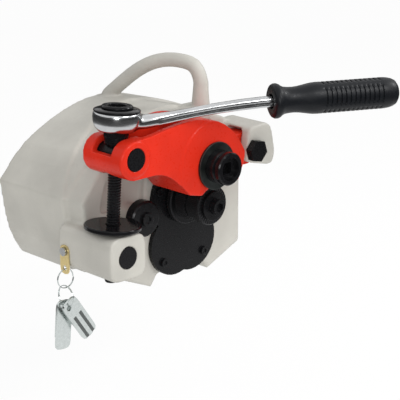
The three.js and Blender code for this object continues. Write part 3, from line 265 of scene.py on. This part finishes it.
class Reading:
    """One output of a node, which can be used in sums as a number can."""

    def __init__(self, nodes, maker, out=0):
        self.nodes = nodes
        self.maker = maker
        self.out = out

    @property
    def socket(self):
        return self.maker.outputs[self.out]

    def output(self, out):
        """Another output of the same node."""
        return Reading(self.nodes, self.maker, out)

    def __add__(self, other):
        return self.nodes.maths("ADD", self, other)

    def __sub__(self, other):
        return self.nodes.maths("SUBTRACT", self, other)

    def __mul__(self, other):
        return self.nodes.maths("MULTIPLY", self, other)

    def __radd__(self, other):
        return self.nodes.maths("ADD", other, self)

    def __rsub__(self, other):
        return self.nodes.maths("SUBTRACT", other, self)

    def __rmul__(self, other):
        return self.nodes.maths("MULTIPLY", other, self)


class Nodes:
    """The nodes of a material or of the world."""

    def __init__(self, owner):
        owner.use_nodes = True
        self.tree = owner.node_tree
        self.tree.nodes.clear()

    def node(self, kind, settings, sockets):
        """Adds a node with its settings, and with the values or links of its sockets."""
        node = self.tree.nodes.new(kind)
        for key, value in settings.items():
            setattr(node, key, value)
        for key, value in sockets.items():
            if isinstance(value, Reading):
                self.tree.links.new(value.socket, node.inputs[key])
            else:
                node.inputs[key].default_value = value
        return Reading(self, node)

    def maths(self, operation, first, second):
        return self.node("ShaderNodeMath", {"operation": operation}, {0: first, 1: second})

    def seen(self):
        """1 where the camera looks, also in a mirror or through glass, and 0 for light."""
        path = self.node("ShaderNodeLightPath", {}, {})
        straight = path.output("Is Camera Ray")
        mirrored = path.output("Is Glossy Ray")
        through = path.output("Is Transmission Ray")
        return self.maths("MAXIMUM", self.maths("MAXIMUM", straight, mirrored), through)


class Finish(Nodes):
    """A surface finish: one principled shader and the nodes that feed it."""

    def __init__(self, name, values):
        self.material = bpy.data.materials.new(name)
        super().__init__(self.material)
        self.shader = self.node("ShaderNodeBsdfPrincipled", {}, values)
        self.surface = self.node("ShaderNodeOutputMaterial", {}, {"Surface": self.shader})
        self.material.diffuse_color = values["Base Color"]

    def feed(self, socket, reading):
        """Links a reading to a socket of the principled shader."""
        self.tree.links.new(reading.socket, self.shader.maker.inputs[socket])

    def show(self, shader):
        """Shows another shader in place of the principled one."""
        self.tree.links.new(shader.socket, self.surface.maker.inputs["Surface"])

    def place(self):
        """Where a point of the surface lies, in metres."""
        return self.node("ShaderNodeTexCoord", {}, {}).output("Object")

    def stretched(self, scale):
        """The place, so that a pattern on it is scaled along each axis."""
        return self.node(
            "ShaderNodeMapping", {"vector_type": "TEXTURE"}, {"Vector": self.place(), "Scale": scale},
        )

    def noise(self, scale, detail=3.0, rough=0.5, place=None):
        """A cloudy pattern with about as many clouds to the metre as the scale says."""
        return self.node(
            "ShaderNodeTexNoise", {"noise_dimensions": "3D"},
            {"Vector": place or self.place(), "Scale": scale, "Detail": detail, "Roughness": rough},
        )

    def between(self, reading, low, high, lowest=0.3, highest=0.7):
        """Spreads a reading from its lowest and highest value to low and high."""
        return self.node(
            "ShaderNodeMapRange", {"clamp": True},
            {"Value": reading, "From Min": lowest, "From Max": highest, "To Min": low, "To Max": high},
        )

    def mix(self, share, first, second):
        """A colour between two. The Mix node takes colours on inputs 6 and 7 and gives output 2."""
        mixed = self.node("ShaderNodeMix", {"data_type": "RGBA"}, {0: share, 6: first, 7: second})
        return mixed.output(2)

    def bump(self, height, depth, strength):
        """Makes the surface look raised where the height is 1, by the depth in metres."""
        lifted = self.node(
            "ShaderNodeBump", {}, {"Strength": strength, "Distance": depth, "Height": height},
        )
        self.feed("Normal", lifted)


def shade(tone, share):
    """A colour made darker or lighter by a share."""
    return (*[min(1.0, c * share) for c in tone[:3]], 1.0)


# Finishes

def casting_paint(name, tone):
    """Satin paint over sand-cast iron: soft mottling, a fine skin and slow waves."""
    paint = Finish(name, {"Base Color": tone, "Roughness": 0.48, "Specular IOR Level": 0.45})
    slow = paint.noise(14.0)
    fine = paint.noise(900.0, detail=2.0, rough=0.6)
    sand = paint.noise(330.0, rough=0.55)
    wear = paint.between(paint.noise(60.0, detail=6.0, rough=0.65), 0.0, 1.0, 0.62, 0.76)
    mottle = paint.between(slow, 0.0, 1.0, 0.35, 0.65)
    base = paint.mix(mottle, shade(tone, 0.90), shade(tone, 1.08))
    base = paint.mix(wear * 0.22, base, shade(tone, 0.62))
    paint.feed("Base Color", base)
    paint.feed("Roughness", paint.between(sand, 0.40, 0.56))
    paint.bump(sand * 0.7 + fine * 0.3, depth=0.22 * MM, strength=0.55)
    return paint.material


def arm_paint(name, tone):
    """Glossy red enamel that pools a little over the cast skin."""
    paint = Finish(name, {
        "Base Color": tone, "Roughness": 0.30, "Coat Weight": 0.06, "Coat Roughness": 0.08,
        "Specular IOR Level": 0.10,
    })
    slow = paint.noise(22.0)
    skin = paint.noise(300.0, detail=2.0)
    base = paint.mix(paint.between(slow, 0.0, 1.0), shade(tone, 0.90), shade(tone, 1.08))
    paint.feed("Base Color", base)
    paint.feed("Roughness", paint.between(skin, 0.25, 0.38))
    paint.bump(skin, depth=0.10 * MM, strength=0.35)
    return paint.material


def black_oxide(name, tone, rough):
    """Blackened steel with oil on it and lighter rubbed patches."""
    metal = Finish(name, {
        "Base Color": tone, "Metallic": 0.15, "Roughness": rough, "Specular IOR Level": 0.17,
    })
    rub = metal.between(metal.noise(130.0, detail=5.0, rough=0.62), 0.0, 1.0, 0.60, 0.80)
    oil = metal.noise(420.0, detail=4.0)
    metal.feed("Base Color", metal.mix(rub * 0.3, tone, shade(tone, 4.0)))
    metal.feed("Roughness", metal.between(oil, rough - 0.07, rough + 0.13))
    metal.bump(metal.noise(1500.0, detail=2.0), depth=0.02 * MM, strength=0.3)
    return metal.material


def machined(name, tone, rough):
    """Turned steel with marks round the axis that runs from front to back."""
    metal = Finish(name, {"Base Color": tone, "Metallic": 0.95, "Roughness": rough})
    marks = metal.noise(70.0, detail=4.0, rough=0.6, place=metal.stretched((1.0, 0.02, 1.0)))
    base = metal.mix(metal.between(marks, 0.0, 1.0), shade(tone, 0.75), shade(tone, 1.15))
    metal.feed("Base Color", base)
    metal.feed("Roughness", metal.between(marks, rough - 0.08, rough + 0.10))
    metal.bump(marks, depth=0.03 * MM, strength=0.35)
    return metal.material


def chrome_plate(name, tone):
    """Polished chrome with faint handling marks."""
    metal = Finish(name, {"Base Color": tone, "Metallic": 1.0, "Roughness": 0.20})
    smear = metal.noise(45.0, detail=5.0, rough=0.6)
    metal.feed("Roughness", metal.between(smear, 0.16, 0.26))
    base = metal.mix(metal.between(smear, 0.0, 1.0), shade(tone, 0.86), shade(tone, 1.12))
    metal.feed("Base Color", base)
    metal.bump(metal.noise(160.0, detail=2.0), depth=0.03 * MM, strength=0.25)
    return metal.material


def moulded_rubber(name, tone):
    """Soft black rubber with a fine matte skin."""
    skin = Finish(name, {"Base Color": tone, "Roughness": 0.42, "Specular IOR Level": 0.2})
    dust = skin.between(skin.noise(70.0, detail=5.0, rough=0.6), 0.0, 1.0, 0.5, 0.8)
    skin.feed("Base Color", skin.mix(dust * 0.3, tone, shade(tone, 2.2)))
    skin.feed("Roughness", skin.between(skin.noise(500.0), 0.32, 0.50))
    skin.bump(skin.noise(1400.0, detail=2.0), depth=0.05 * MM, strength=0.5)
    return skin.material


def plated_sheet(name, tone, rough):
    """Thin plated sheet and wire, cloudy and lightly scratched."""
    metal = Finish(name, {"Base Color": tone, "Metallic": 0.9, "Roughness": rough})
    cloud = metal.noise(260.0, detail=2.0)
    streaks = metal.noise(40.0, detail=5.0, rough=0.7, place=metal.stretched((1.0, 1.0, 0.06)))
    scratch = metal.between(streaks, 0.0, 1.0, 0.55, 0.7)
    base = metal.mix(metal.between(cloud, 0.0, 1.0), shade(tone, 0.92), shade(tone, 1.08))
    metal.feed("Base Color", base)
    metal.feed("Roughness", metal.between(cloud, rough - 0.05, rough + 0.06))
    metal.bump(scratch, depth=0.03 * MM, strength=0.35)
    return metal.material


def painted_shade_sheet(name, tone, rough):
    """The same sheet darkened as painted shade for the bottom of a channel, where little light comes."""
    # 0.22 of the zinc's colour is the painted shade
    return plated_sheet(name, shade(tone, 0.22), rough)


def knurled_roll(name, tone):
    """Hardened roll whose face carries crossed rows of fine teeth."""
    metal = Finish(name, {"Base Color": tone, "Metallic": 0.7, "Roughness": 0.34})
    spot = metal.node("ShaderNodeSeparateXYZ", {}, {"Vector": metal.place()})
    across, along, up = [spot.output(axis) for axis in "XYZ"]
    turn = metal.maths("ARCTAN2", up, across) * 11.0
    rise = along * 1900.0
    one = metal.maths("PINGPONG", turn + rise, 1.0)
    other = metal.maths("PINGPONG", turn - rise, 1.0)
    teeth = one * other
    metal.feed("Base Color", metal.mix(teeth, shade(tone, 0.7), shade(tone, 5.0)))
    metal.feed("Roughness", metal.between(teeth, 0.42, 0.26, 0.0, 1.0))
    metal.bump(teeth, depth=0.45 * MM, strength=0.8)
    return metal.material


# For each finish its material's name, the function that makes it, its colour, and its roughness if asked

FINISHES = {
    "cast_grey": ("casting paint", casting_paint, "casting", ()),
    "arm_red": ("arm enamel", arm_paint, "arm", ()),
    "black_steel": ("black oxide", black_oxide, "oxide", (0.26,)),
    "gloss_black": ("polished black oxide", black_oxide, "oxide", (0.13,)),
    "plain_steel": ("turned steel", machined, "steel", (0.30,)),
    "washer": ("phosphated washer", machined, "washer", (0.42,)),
    "chrome": ("chrome plate", chrome_plate, "chrome", ()),
    "rubber": ("grip rubber", moulded_rubber, "rubber", ()),
    "bronze": ("bearing bronze", machined, "bronze", (0.36,)),
    "brass": ("yellow passivated sheet", plated_sheet, "brass", (0.34,)),
    "zinc": ("zinc plated sheet", plated_sheet, "zinc", (0.20,)),
    # channel: the zinc darkened into painted shade for the channels' floors
    "channel": ("zinc in the channels", painted_shade_sheet, "zinc", (0.30,)),
    "knurl": ("knurled roll", knurled_roll, "oxide", ()),
}


def finish_for(kind):
    """The material of a finish, made when it is first asked for."""
    name, maker, tone, rough = FINISHES[kind]
    made = bpy.data.materials.get(name)
    return made or maker(name, getattr(bpy.context.scene.groover_finishes, tone), *rough)


# Mesh helpers

def body_of(node):
    """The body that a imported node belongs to."""
    for body, members in frame["record"]["behaviour"]["bodies"].items():
        if node in members:
            return body
    raise RuntimeError(f"no body holds {node}")


def slot_of(node):
    """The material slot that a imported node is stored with."""
    for entry in frame["record"]["subparts"]:
        if entry["node"] == node:
            return entry["material_slot"]
    raise RuntimeError(f"no slot is stored for {node}")


def copy_solid(*nodes):
    """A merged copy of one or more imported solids."""
    shape = bmesh.new()
    for node in nodes:
        shape.from_mesh(frame["nodes"][node].data)
    bmesh.ops.remove_doubles(shape, verts=shape.verts, dist=1e-6)
    return shape


def soften(shape, limit=0.62):
    """Smooth shading that keeps edges sharper than the limit crisp."""
    for face in shape.faces:
        face.smooth = True
    for edge in shape.edges:
        edge.smooth = not (edge.is_manifold and edge.calc_face_angle(0.0) > limit)


def new_object(name, shape):
    """An object of the shape that stands at the origin, its place in its mesh."""
    mesh = bpy.data.meshes.new(name)
    shape.to_mesh(mesh)
    shape.free()
    piece = bpy.data.objects.new(name, mesh)
    bpy.context.scene.collection.objects.link(piece)
    return piece


def put(name, shape, kind, nodes, bevel=0.0):
    """Makes the piece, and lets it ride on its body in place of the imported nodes."""
    piece = new_object(name, shape)
    piece.data.materials.append(finish_for(kind))
    if bevel:
        edge = piece.modifiers.new("rounded edges", "BEVEL")
        edge.width = bevel
        edge.segments = 2
        edge.limit_method = "ANGLE"
        edge.angle_limit = math.radians(36)
        edge.use_clamp_overlap = True
        edge.harden_normals = True
    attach(piece, body_of(nodes[0]))
    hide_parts(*nodes)
    return piece


def dress(node, kind=None, bevel=0.4 * MM):
    """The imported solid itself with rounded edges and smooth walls."""
    shape = copy_solid(node)
    bmesh.ops.dissolve_limit(shape, angle_limit=0.005, verts=shape.verts, edges=shape.edges)
    soften(shape)
    return put(f"{node}_dressed", shape, kind or slot_of(node), (node,), bevel)


def rebuild(shape, grain):
    """The shape joined into one skin of even cells."""
    rough = new_object("rough", shape)
    mesh = rough.data
    cells = rough.modifiers.new("cells", "REMESH")
    cells.mode = "VOXEL"
    cells.voxel_size = grain
    cells.adaptivity = 0.0
    graph = bpy.context.evaluated_depsgraph_get()
    skin = bmesh.new()
    skin.from_mesh(rough.evaluated_get(graph).to_mesh())
    bpy.data.objects.remove(rough)
    bpy.data.meshes.remove(mesh)
    if not skin.faces:
        raise RuntimeError("the rebuilt skin came out empty")
    for face in skin.faces:
        face.smooth = True
    return skin


def smooth(shape, passes, verts=None):
    """Rounds the whole shape, or only the verts named."""
    for _ in range(passes):
        bmesh.ops.smooth_vert(
            shape, verts=verts or shape.verts, factor=0.5,
            use_axis_x=True, use_axis_y=True, use_axis_z=True,
        )


def rotate(shape, angle, axis, centre=(0.0, 0.0, 0.0)):
    """Turns the whole shape about an axis through the centre."""
    turn = Matrix.Rotation(angle, 3, axis)
    bmesh.ops.rotate(shape, verts=shape.verts, cent=centre, matrix=turn)


def move(shape, shift):
    """Moves the whole shape by the shift in metres."""
    bmesh.ops.translate(shape, verts=shape.verts, vec=shift)


def lean(shape):
    """Tips a shape built upright round the screw's line as the screw leans."""
    rotate(shape, LEAN, "Y", at(*SCREW, UPPER_PIN))


def turned(profile, segments=48):
    """Spins a profile of (radius, height) in millimetres about the upright axis."""
    shape = bmesh.new()
    points = [shape.verts.new((radius * MM, 0.0, height * MM)) for radius, height in profile]
    edges = [shape.edges.new(pair) for pair in zip(points, points[1:])]
    bmesh.ops.spin(
        shape, geom=points + edges, cent=(0, 0, 0), axis=(0, 0, 1), dvec=(0, 0, 0),
        angle=2 * math.pi, steps=segments, use_merge=True, use_duplicate=False,
    )
    bmesh.ops.remove_doubles(shape, verts=shape.verts, dist=1e-6)
    bmesh.ops.recalc_face_normals(shape, faces=shape.faces)
    return shape


def wind(shape, turns, rise, steps):
    """Winds the one face in the shape round the upright axis, up by the rise over all its turns."""
    bmesh.ops.spin(
        shape, geom=list(shape.verts) + list(shape.edges) + list(shape.faces), cent=(0, 0, 0),
        axis=(0, 0, 1), dvec=(0, 0, rise / steps), angle=2 * math.pi * turns, steps=steps,
        use_merge=False, use_duplicate=False,
    )
    bmesh.ops.recalc_face_normals(shape, faces=shape.faces)


def join(first, second):
    """Adds the second shape's faces to the first."""
    mesh = bpy.data.meshes.new("joined")
    second.to_mesh(mesh)
    second.free()
    first.from_mesh(mesh)
    bpy.data.meshes.remove(mesh)
    return first


def point(thing, direction):
    """Turns a camera or a lamp to face along the direction."""
    thing.rotation_mode = "QUATERNION"
    thing.rotation_quaternion = direction.to_track_quat("-Z", "Y")


# Operators

class GROOVER_OT_stage(bpy.types.Operator):
    """Make the camera, the pale floor and the soft lights"""

    bl_idname = "groover.stage"
    bl_label = "Stage"

    def execute(self, context):
        look = context.scene.groover_stage
        context.scene.view_settings.view_transform = "Standard"
        self.camera(context.scene, look)
        self.floor(look)
        self.band(look)
        self.air(context.scene, look)
        self.lamp("key light", look.key, width=0.7, place=(0.2, -1.6, 1.4))
        self.lamp("fill light", look.fill, width=0.5, place=(1.3, -0.7, 1.1))
        self.lamp("left light", look.fill * LEFT_SHARE, width=0.7, place=(-1.35, -1.5, 0.55))
        return {"FINISHED"}

    def camera(self, scene, look):
        """The camera, which was fitted to the photo's straight and round edges."""
        lens = bpy.data.cameras.new("camera")
        lens.sensor_width = CAMERA_SENSOR
        lens.lens = look.lens
        lens.clip_start, lens.clip_end = CAMERA_CLIP
        camera = bpy.data.objects.new("camera", lens)
        scene.collection.objects.link(camera)
        camera.location = CAMERA_PLACE
        point(camera, Vector(CAMERA_LOOK))
        scene.camera = camera

    def floor(self, look):
        """A floor that the camera sees nearly white, and that keeps the shadow."""
        shape = bmesh.new()
        bmesh.ops.create_grid(shape, x_segments=1, y_segments=1, size=FLOOR_REACH)
        move(shape, (0.0, 0.0, look.floor))
        floor = new_object("floor", shape)
        finish = Finish("pale floor", {"Base Color": look.floor_colour, "Roughness": 0.9})
        finish.feed("Roughness", finish.between(finish.noise(3.0), 0.8, 0.95))
        glow = finish.node("ShaderNodeEmission", {}, {"Color": WHITE, "Strength": 1.0})
        finish.show(finish.node(
            "ShaderNodeMixShader", {}, {0: finish.seen() * FLOOR_GLOW, 1: finish.shader, 2: glow},
        ))
        floor.data.materials.append(finish.material)

    def band(self, look):
        """A dark band round the floor that only shows in polished metal."""
        low = look.floor / MM + BAND_LIFT
        shape = turned([(BAND_INNER, low), (BAND_OUTER, low), (BAND_OUTER, BAND_TOP)])
        band = new_object("dark band", shape)
        finish = Finish("dark band", {"Base Color": BAND_COLOUR, "Roughness": 1.0})
        band.data.materials.append(finish.material)
        band.visible_camera = False
        band.visible_diffuse = False
        band.visible_shadow = False

    def air(self, scene, look):
        """Even light from all sides, behind which the camera sees white."""
        world = bpy.data.worlds.new("air")
        scene.world = world
        nodes = Nodes(world)
        even = nodes.node("ShaderNodeBackground", {}, {"Color": WHITE, "Strength": look.air})
        plain = nodes.node("ShaderNodeBackground", {}, {"Color": WHITE, "Strength": 1.0})
        mixed = nodes.node("ShaderNodeMixShader", {}, {0: nodes.seen(), 1: even, 2: plain})
        nodes.node("ShaderNodeOutputWorld", {}, {"Surface": mixed})

    def lamp(self, name, energy, width, place):
        """A round lamp at a place in metres from what it is aimed at."""
        light = bpy.data.lights.new(name, "AREA")
        light.shape = "DISK"
        light.size = width
        light.energy = energy
        lamp = bpy.data.objects.new(name, light)
        bpy.context.scene.collection.objects.link(lamp)
        lamp.location = Vector(place) + at(*LIGHT_AIM)
        point(lamp, -Vector(place))


class GROOVER_OT_housing(bpy.types.Operator):
    """Make the housing's one casting: front, hood over the chuck and carry handle, with cast fillets"""

    bl_idname = "groover.housing"
    bl_label = "Housing casting"

    def execute(self, context):
        cast = context.scene.groover_castings
        nodes = ("housing_front", "chuck_hood", "carry_handle")
        shape = copy_solid(*nodes)
        shape.normal_update()
        for vert in shape.verts:
            vert.co += vert.normal * cast.cover
        skin = rebuild(shape, cast.housing_grain)
        smooth(skin, cast.housing_passes)
        put("housing_casting", skin, "cast_grey", nodes)
        return {"FINISHED"}


class GROOVER_OT_arm(bpy.types.Operator):
    """Make the red feed arm with its round bosses and softened edges"""

    bl_idname = "groover.arm"
    bl_label = "Feed arm"

    def execute(self, context):
        cast = context.scene.groover_castings
        skin = rebuild(copy_solid("feed_arm"), cast.arm_grain)
        smooth(skin, cast.arm_passes)
        put("feed_arm_casting", skin, "arm_red", ("feed_arm",))
        return {"FINISHED"}


class GROOVER_OT_screw(bpy.types.Operator):
    """Make the feed screw with its thread, collar and hexagon"""

    bl_idname = "groover.screw"
    bl_label = "Feed screw"

    def execute(self, context):
        sizes = context.scene.groover_screw
        shape = join(self.core(sizes), self.thread(sizes))
        shape = join(shape, self.hexagon())
        move(shape, at(*SCREW, 0))
        lean(shape)
        soften(shape)
        put("feed_screw_threaded", shape, "black_steel", ("feed_screw",), bevel=0.15 * MM)
        dress("screw_washer", "gloss_black")
        dress("screw_clip", bevel=0.2 * MM)
        dress("upper_trunnion", bevel=0.6 * MM)
        dress("lower_trunnion", bevel=0.6 * MM)
        dress("index_disc", "gloss_black", bevel=0.3 * MM)
        return {"FINISHED"}

    def core(self, sizes):
        """The core under the thread, the plain neck above it and the collar."""
        crest, root = sizes.crest / MM, sizes.root / MM
        in_by, up_by = TIP_CHAMFER
        return turned([
            (0, SCREW_END), (root - in_by, SCREW_END), (root, SCREW_END + up_by), (root, RUN_OUT_LOW),
            (crest, RUN_OUT_TOP), (crest, COLLAR_LOW), (COLLAR_RADIUS, COLLAR_LOW),
            (COLLAR_RADIUS, COLLAR_TOP - COLLAR_CHAMFER),
            (COLLAR_RADIUS - COLLAR_CHAMFER, COLLAR_TOP), (0, COLLAR_TOP),
        ])

    def thread(self, sizes):
        """One tooth of the thread wound along the core, with its foot sunk in it."""
        shape = bmesh.new()
        half = sizes.pitch * THREAD_FOOT_SHARE
        foot = sizes.root - THREAD_SINK * MM
        tip = half * THREAD_CREST_SHARE
        corners = [(foot, -half), (sizes.crest, -tip), (sizes.crest, tip), (foot, half)]
        start = THREAD_START * MM
        shape.faces.new([shape.verts.new((radius, 0.0, start + rise)) for radius, rise in corners])
        steps = int((THREAD_TOP - THREAD_START) * MM / sizes.pitch * sizes.steps)
        turns = steps / sizes.steps
        wind(shape, turns, sizes.pitch * turns, steps)
        return shape

    def hexagon(self):
        """The screw's head, which the ratchet turns."""
        shape = bmesh.new()
        reach = HEXAGON_FLATS / 2 / math.cos(math.pi / 6) * MM
        bmesh.ops.create_cone(
            shape, cap_ends=True, segments=6, radius1=reach, radius2=reach, depth=HEXAGON_HEIGHT * MM,
        )
        move(shape, (0, 0, (HEXAGON_TOP - HEXAGON_HEIGHT / 2) * MM))
        return shape


class GROOVER_OT_ratchet(bpy.types.Operator):
    """Make the ratchet: polished head and shank, cap, dial and ribbed grip"""

    bl_idname = "groover.ratchet"
    bl_label = "Ratchet"

    def execute(self, context):
        self.forging()
        dress("ratchet_cap", "gloss_black", bevel=0.6 * MM)
        dress("reverse_dial", "gloss_black", bevel=0.5 * MM)
        dress("ratchet_gear", "plain_steel", bevel=0.2 * MM)
        self.grip(context.scene.groover_grip)
        return {"FINISHED"}

    def forging(self):
        """The head is a bowl; the fluted shank grows out of it and rises to the grip."""
        head = turned(HEAD_OUTLINE, segments=64)
        move(head, at(*SCREW, 0))
        lean(head)
        shank = self.shank()
        rotate(shank, HANDLE_TURN, "Z")
        move(shank, at(*HANDLE_ROOT[:2], 0))
        skin = rebuild(join(head, shank), FORGING_GRAIN * MM)
        smooth(skin, FORGING_PASSES)
        smooth(skin, NECK_PASSES, self.neck(skin))
        put("ratchet_forging", skin, "chrome", ("ratchet_body",))

    def shank(self):
        """Rings from the head to the grip, squarish in section and fluted at the sides."""
        shape = bmesh.new()
        loops = []
        for reach, height, wide, tall in SHANK_PATH:
            flute = FLUTE_DEPTH * min(1.0, max(0.0, (reach - FLUTE_START) / FLUTE_RUN_IN))
            known = len(shape.edges)
            ring = bmesh.ops.create_circle(shape, segments=SHANK_CORNERS, radius=1.0)["verts"]
            for vert in ring:
                side, rise = vert.co.xy
                bulge = abs(side) ** SHANK_SQUARENESS + abs(rise) ** SHANK_SQUARENESS
                square = bulge ** (-1 / SHANK_SQUARENESS)
                dip = 1.0 - flute * max(0.0, 1.0 - (rise / FLUTE_HALF) ** 2)
                vert.co = Vector((reach, side * square * dip * wide, height + rise * square * tall)) * MM
            loops.append(list(shape.edges)[known:])
        for near, far in zip(loops, loops[1:]):
            bmesh.ops.bridge_loops(shape, edges=near + far)
        for end in (loops[0], loops[-1]):
            bmesh.ops.contextual_create(shape, geom=end)
        bmesh.ops.recalc_face_normals(shape, faces=shape.faces)
        return shape

    def neck(self, skin):
        """The verts between head and shank, without the head's own rim."""
        forward = Matrix.Rotation(HANDLE_TURN, 3, "Z") @ Vector((1.0, 0.0, 0.0))
        root = at(*HANDLE_ROOT)
        found = []
        for vert in skin.verts:
            reach = (vert.co - root).dot(forward) / MM
            off_rim = vert.co.z / MM < HEAD_RIM or reach > HEAD_SIDE
            if NECK_START < reach < NECK_END and off_rim:
                found.append(vert)
        return found

    def grip(self, sizes):
        """The grip as one turned outline, from its flange over the ribs to its round end."""
        full = sizes.radius / MM
        groove = full - sizes.depth / MM
        first, last = sizes.start / MM, sizes.end / MM
        pitch = (last - first) / sizes.ribs
        outline = list(GRIP_FRONT)
        for rib in range(sizes.ribs):
            base = first + rib * pitch
            outline += [
                (full, base), (full, base + pitch * RIB_TOP), (groove, base + pitch * GROOVE_START),
                (groove, base + pitch * GROOVE_END),
            ]
        outline += [(full, last), *GRIP_BACK]
        shape = turned(outline, segments=64)
        rotate(shape, math.pi / 2, "Y")
        self.knurl(shape, sizes)
        rotate(shape, HANDLE_TURN, "Z")
        move(shape, at(*HANDLE_ROOT))
        soften(shape, limit=0.9)
        put("ratchet_grip_ribbed", shape, "rubber", ("ratchet_grip",))

    def knurl(self, shape, sizes):
        """Fine rows along the ribs, which smooth panels interrupt."""
        low, high = sizes.start - RIB_MARGIN * MM, sizes.end + RIB_MARGIN * MM
        for vert in shape.verts:
            if not low < vert.co.x < high:
                continue
            turn = math.atan2(vert.co.z, vert.co.y)
            reach = math.hypot(vert.co.y, vert.co.z)
            panel = abs(math.sin(turn * PANEL_WAVES + PANEL_TURN))
            plain = min(1.0, max(0.0, (panel - PANEL_EDGE) / PANEL_BLEND))
            rows = 0.5 + 0.5 * math.cos(turn * GRIP_ROWS)
            wanted = reach + (sizes.radius - reach) * plain - ROW_DEPTH * MM * rows * (1 - plain)
            vert.co.y *= wanted / reach
            vert.co.z *= wanted / reach


class GROOVER_OT_rolls(bpy.types.Operator):
    """Make the two rolls, the hub, the washers and the guide roller"""

    bl_idname = "groover.rolls"
    bl_label = "Rolls"

    def execute(self, context):
        dress("groove_roll", "gloss_black", bevel=0.3 * MM)
        dress("roll_shaft", "gloss_black")
        dress("thrust_washer", "washer", bevel=0.5 * MM)
        dress("drive_roll", "knurl", bevel=0.3 * MM)
        dress("roll_washer", bevel=0.5 * MM)
        dress("roll_bolt", bevel=0.5 * MM)
        dress("drive_shaft", bevel=0.5 * MM)
        dress("guide_roller", "gloss_black")
        dress("guide_stud", "gloss_black")
        dress("face_plate", "black_steel", bevel=0.6 * MM)
        return {"FINISHED"}


class GROOVER_OT_fasteners(bpy.types.Operator):
    """Make the bolts, nuts, screws and small rings, and finish what is seen only in part"""

    bl_idname = "groover.fasteners"
    bl_label = "Fasteners"

    def execute(self, context):
        for node in (
            "pivot_bolt", "pivot_nut", "pivot_washer", "tab_screw", "plate_screw_lower_left",
            "plate_screw_lower_right", "plate_screw_upper_left", "plate_screw_upper_right",
            "roll_clip", "shaft_clip",
        ):
            dress(node)
        for node in (
            "front_bearing", "rear_bearing", "bearing_spacer", "drive_key", "groove_roll_key",
            "arm_bush", "front_needle_bearing", "rear_needle_bearing", "ratchet_pawl", "pawl_spring",
        ):
            for slot in frame["nodes"][node].material_slots:
                slot.material = finish_for(slot_of(node))
        return {"FINISHED"}


class GROOVER_OT_gauges(bpy.types.Operator):
    """Make the gauge tab, the two split rings and the hanging gauges"""

    bl_idname = "groover.gauges"
    bl_label = "Gauges"

    def execute(self, context):
        dress("gauge_tab", bevel=0.3 * MM)
        dress("flat_gauge", bevel=0.3 * MM)
        self.paint_shade_in_channels(dress("channel_gauge", bevel=0.3 * MM))
        rings = context.scene.groover_rings
        self.split_ring("upper_split_ring", rings, rings.upper, "X")
        self.split_ring("lower_split_ring", rings, rings.lower, "Y")
        return {"FINISHED"}

    def paint_shade_in_channels(self, gauge):
        """Paints shade on the channels' floors, which lie behind the gauge's face, with a darker copy of
        the zinc finish.
        """
        gauge.data.materials.append(finish_for("channel"))
        front = min(vert.co.y for vert in gauge.data.vertices)
        # forward-facing faces sunk behind the gauge's face get the painted shade
        for face in gauge.data.polygons:
            if face.normal.y < CHANNEL_FACING and face.center.y > front + CHANNEL_SINK * MM:
                face.material_index = 1

    def split_ring(self, node, sizes, radius, axis):
        """Wire wound round and round, turned about the axis named and put where the node is."""
        low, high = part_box(node)
        wire, turns = sizes.wire, sizes.turns
        place = Matrix.Translation((radius, 0.0, -wire)) @ Matrix.Rotation(math.pi / 2, 4, "X")
        shape = bmesh.new()
        bmesh.ops.create_circle(shape, cap_ends=True, segments=10, radius=wire, matrix=place)
        wind(shape, turns * RING_FILL, 2 * wire * turns, sizes.steps * turns)
        move(shape, (0, 0, -wire))
        rotate(shape, math.pi / 2, axis)
        move(shape, (low + high) / 2)
        soften(shape)
        put(f"{node}_coil", shape, "zinc", (node,))


class GROOVER_PT_panel(bpy.types.Panel):
    """Lists the pieces of the roll groover"""

    bl_label = "Roll groover"
    bl_idname = "GROOVER_PT_panel"
    bl_space_type = "VIEW_3D"
    bl_region_type = "UI"
    bl_category = "Roll groover"

    def draw(self, context):
        for step in STEPS:
            self.layout.operator(step.bl_idname)


STEPS = (
    GROOVER_OT_stage, GROOVER_OT_housing, GROOVER_OT_arm, GROOVER_OT_screw, GROOVER_OT_ratchet,
    GROOVER_OT_rolls, GROOVER_OT_fasteners, GROOVER_OT_gauges,
)
SETTINGS = {
    "groover_finishes": GrooverFinishes,
    "groover_castings": GrooverCastings,
    "groover_screw": GrooverScrew,
    "groover_grip": GrooverGrip,
    "groover_rings": GrooverRings,
    "groover_stage": GrooverStage,
}


def register():
    for settings in SETTINGS.values():
        bpy.utils.register_class(settings)
    for step in STEPS:
        bpy.utils.register_class(step)
    bpy.utils.register_class(GROOVER_PT_panel)
    for name, settings in SETTINGS.items():
        setattr(bpy.types.Scene, name, bpy.props.PointerProperty(type=settings))


def unregister():
    for name in SETTINGS:
        delattr(bpy.types.Scene, name)
    bpy.utils.unregister_class(GROOVER_PT_panel)
    for step in reversed(STEPS):
        bpy.utils.unregister_class(step)
    for settings in reversed(SETTINGS.values()):
        bpy.utils.unregister_class(settings)


def main():
    register()
    bpy.ops.groover.stage()
    bpy.ops.groover.housing()
    bpy.ops.groover.arm()
    bpy.ops.groover.screw()
    bpy.ops.groover.ratchet()
    bpy.ops.groover.rolls()
    bpy.ops.groover.fasteners()
    bpy.ops.groover.gauges()


if __name__ == "__main__":
    main()
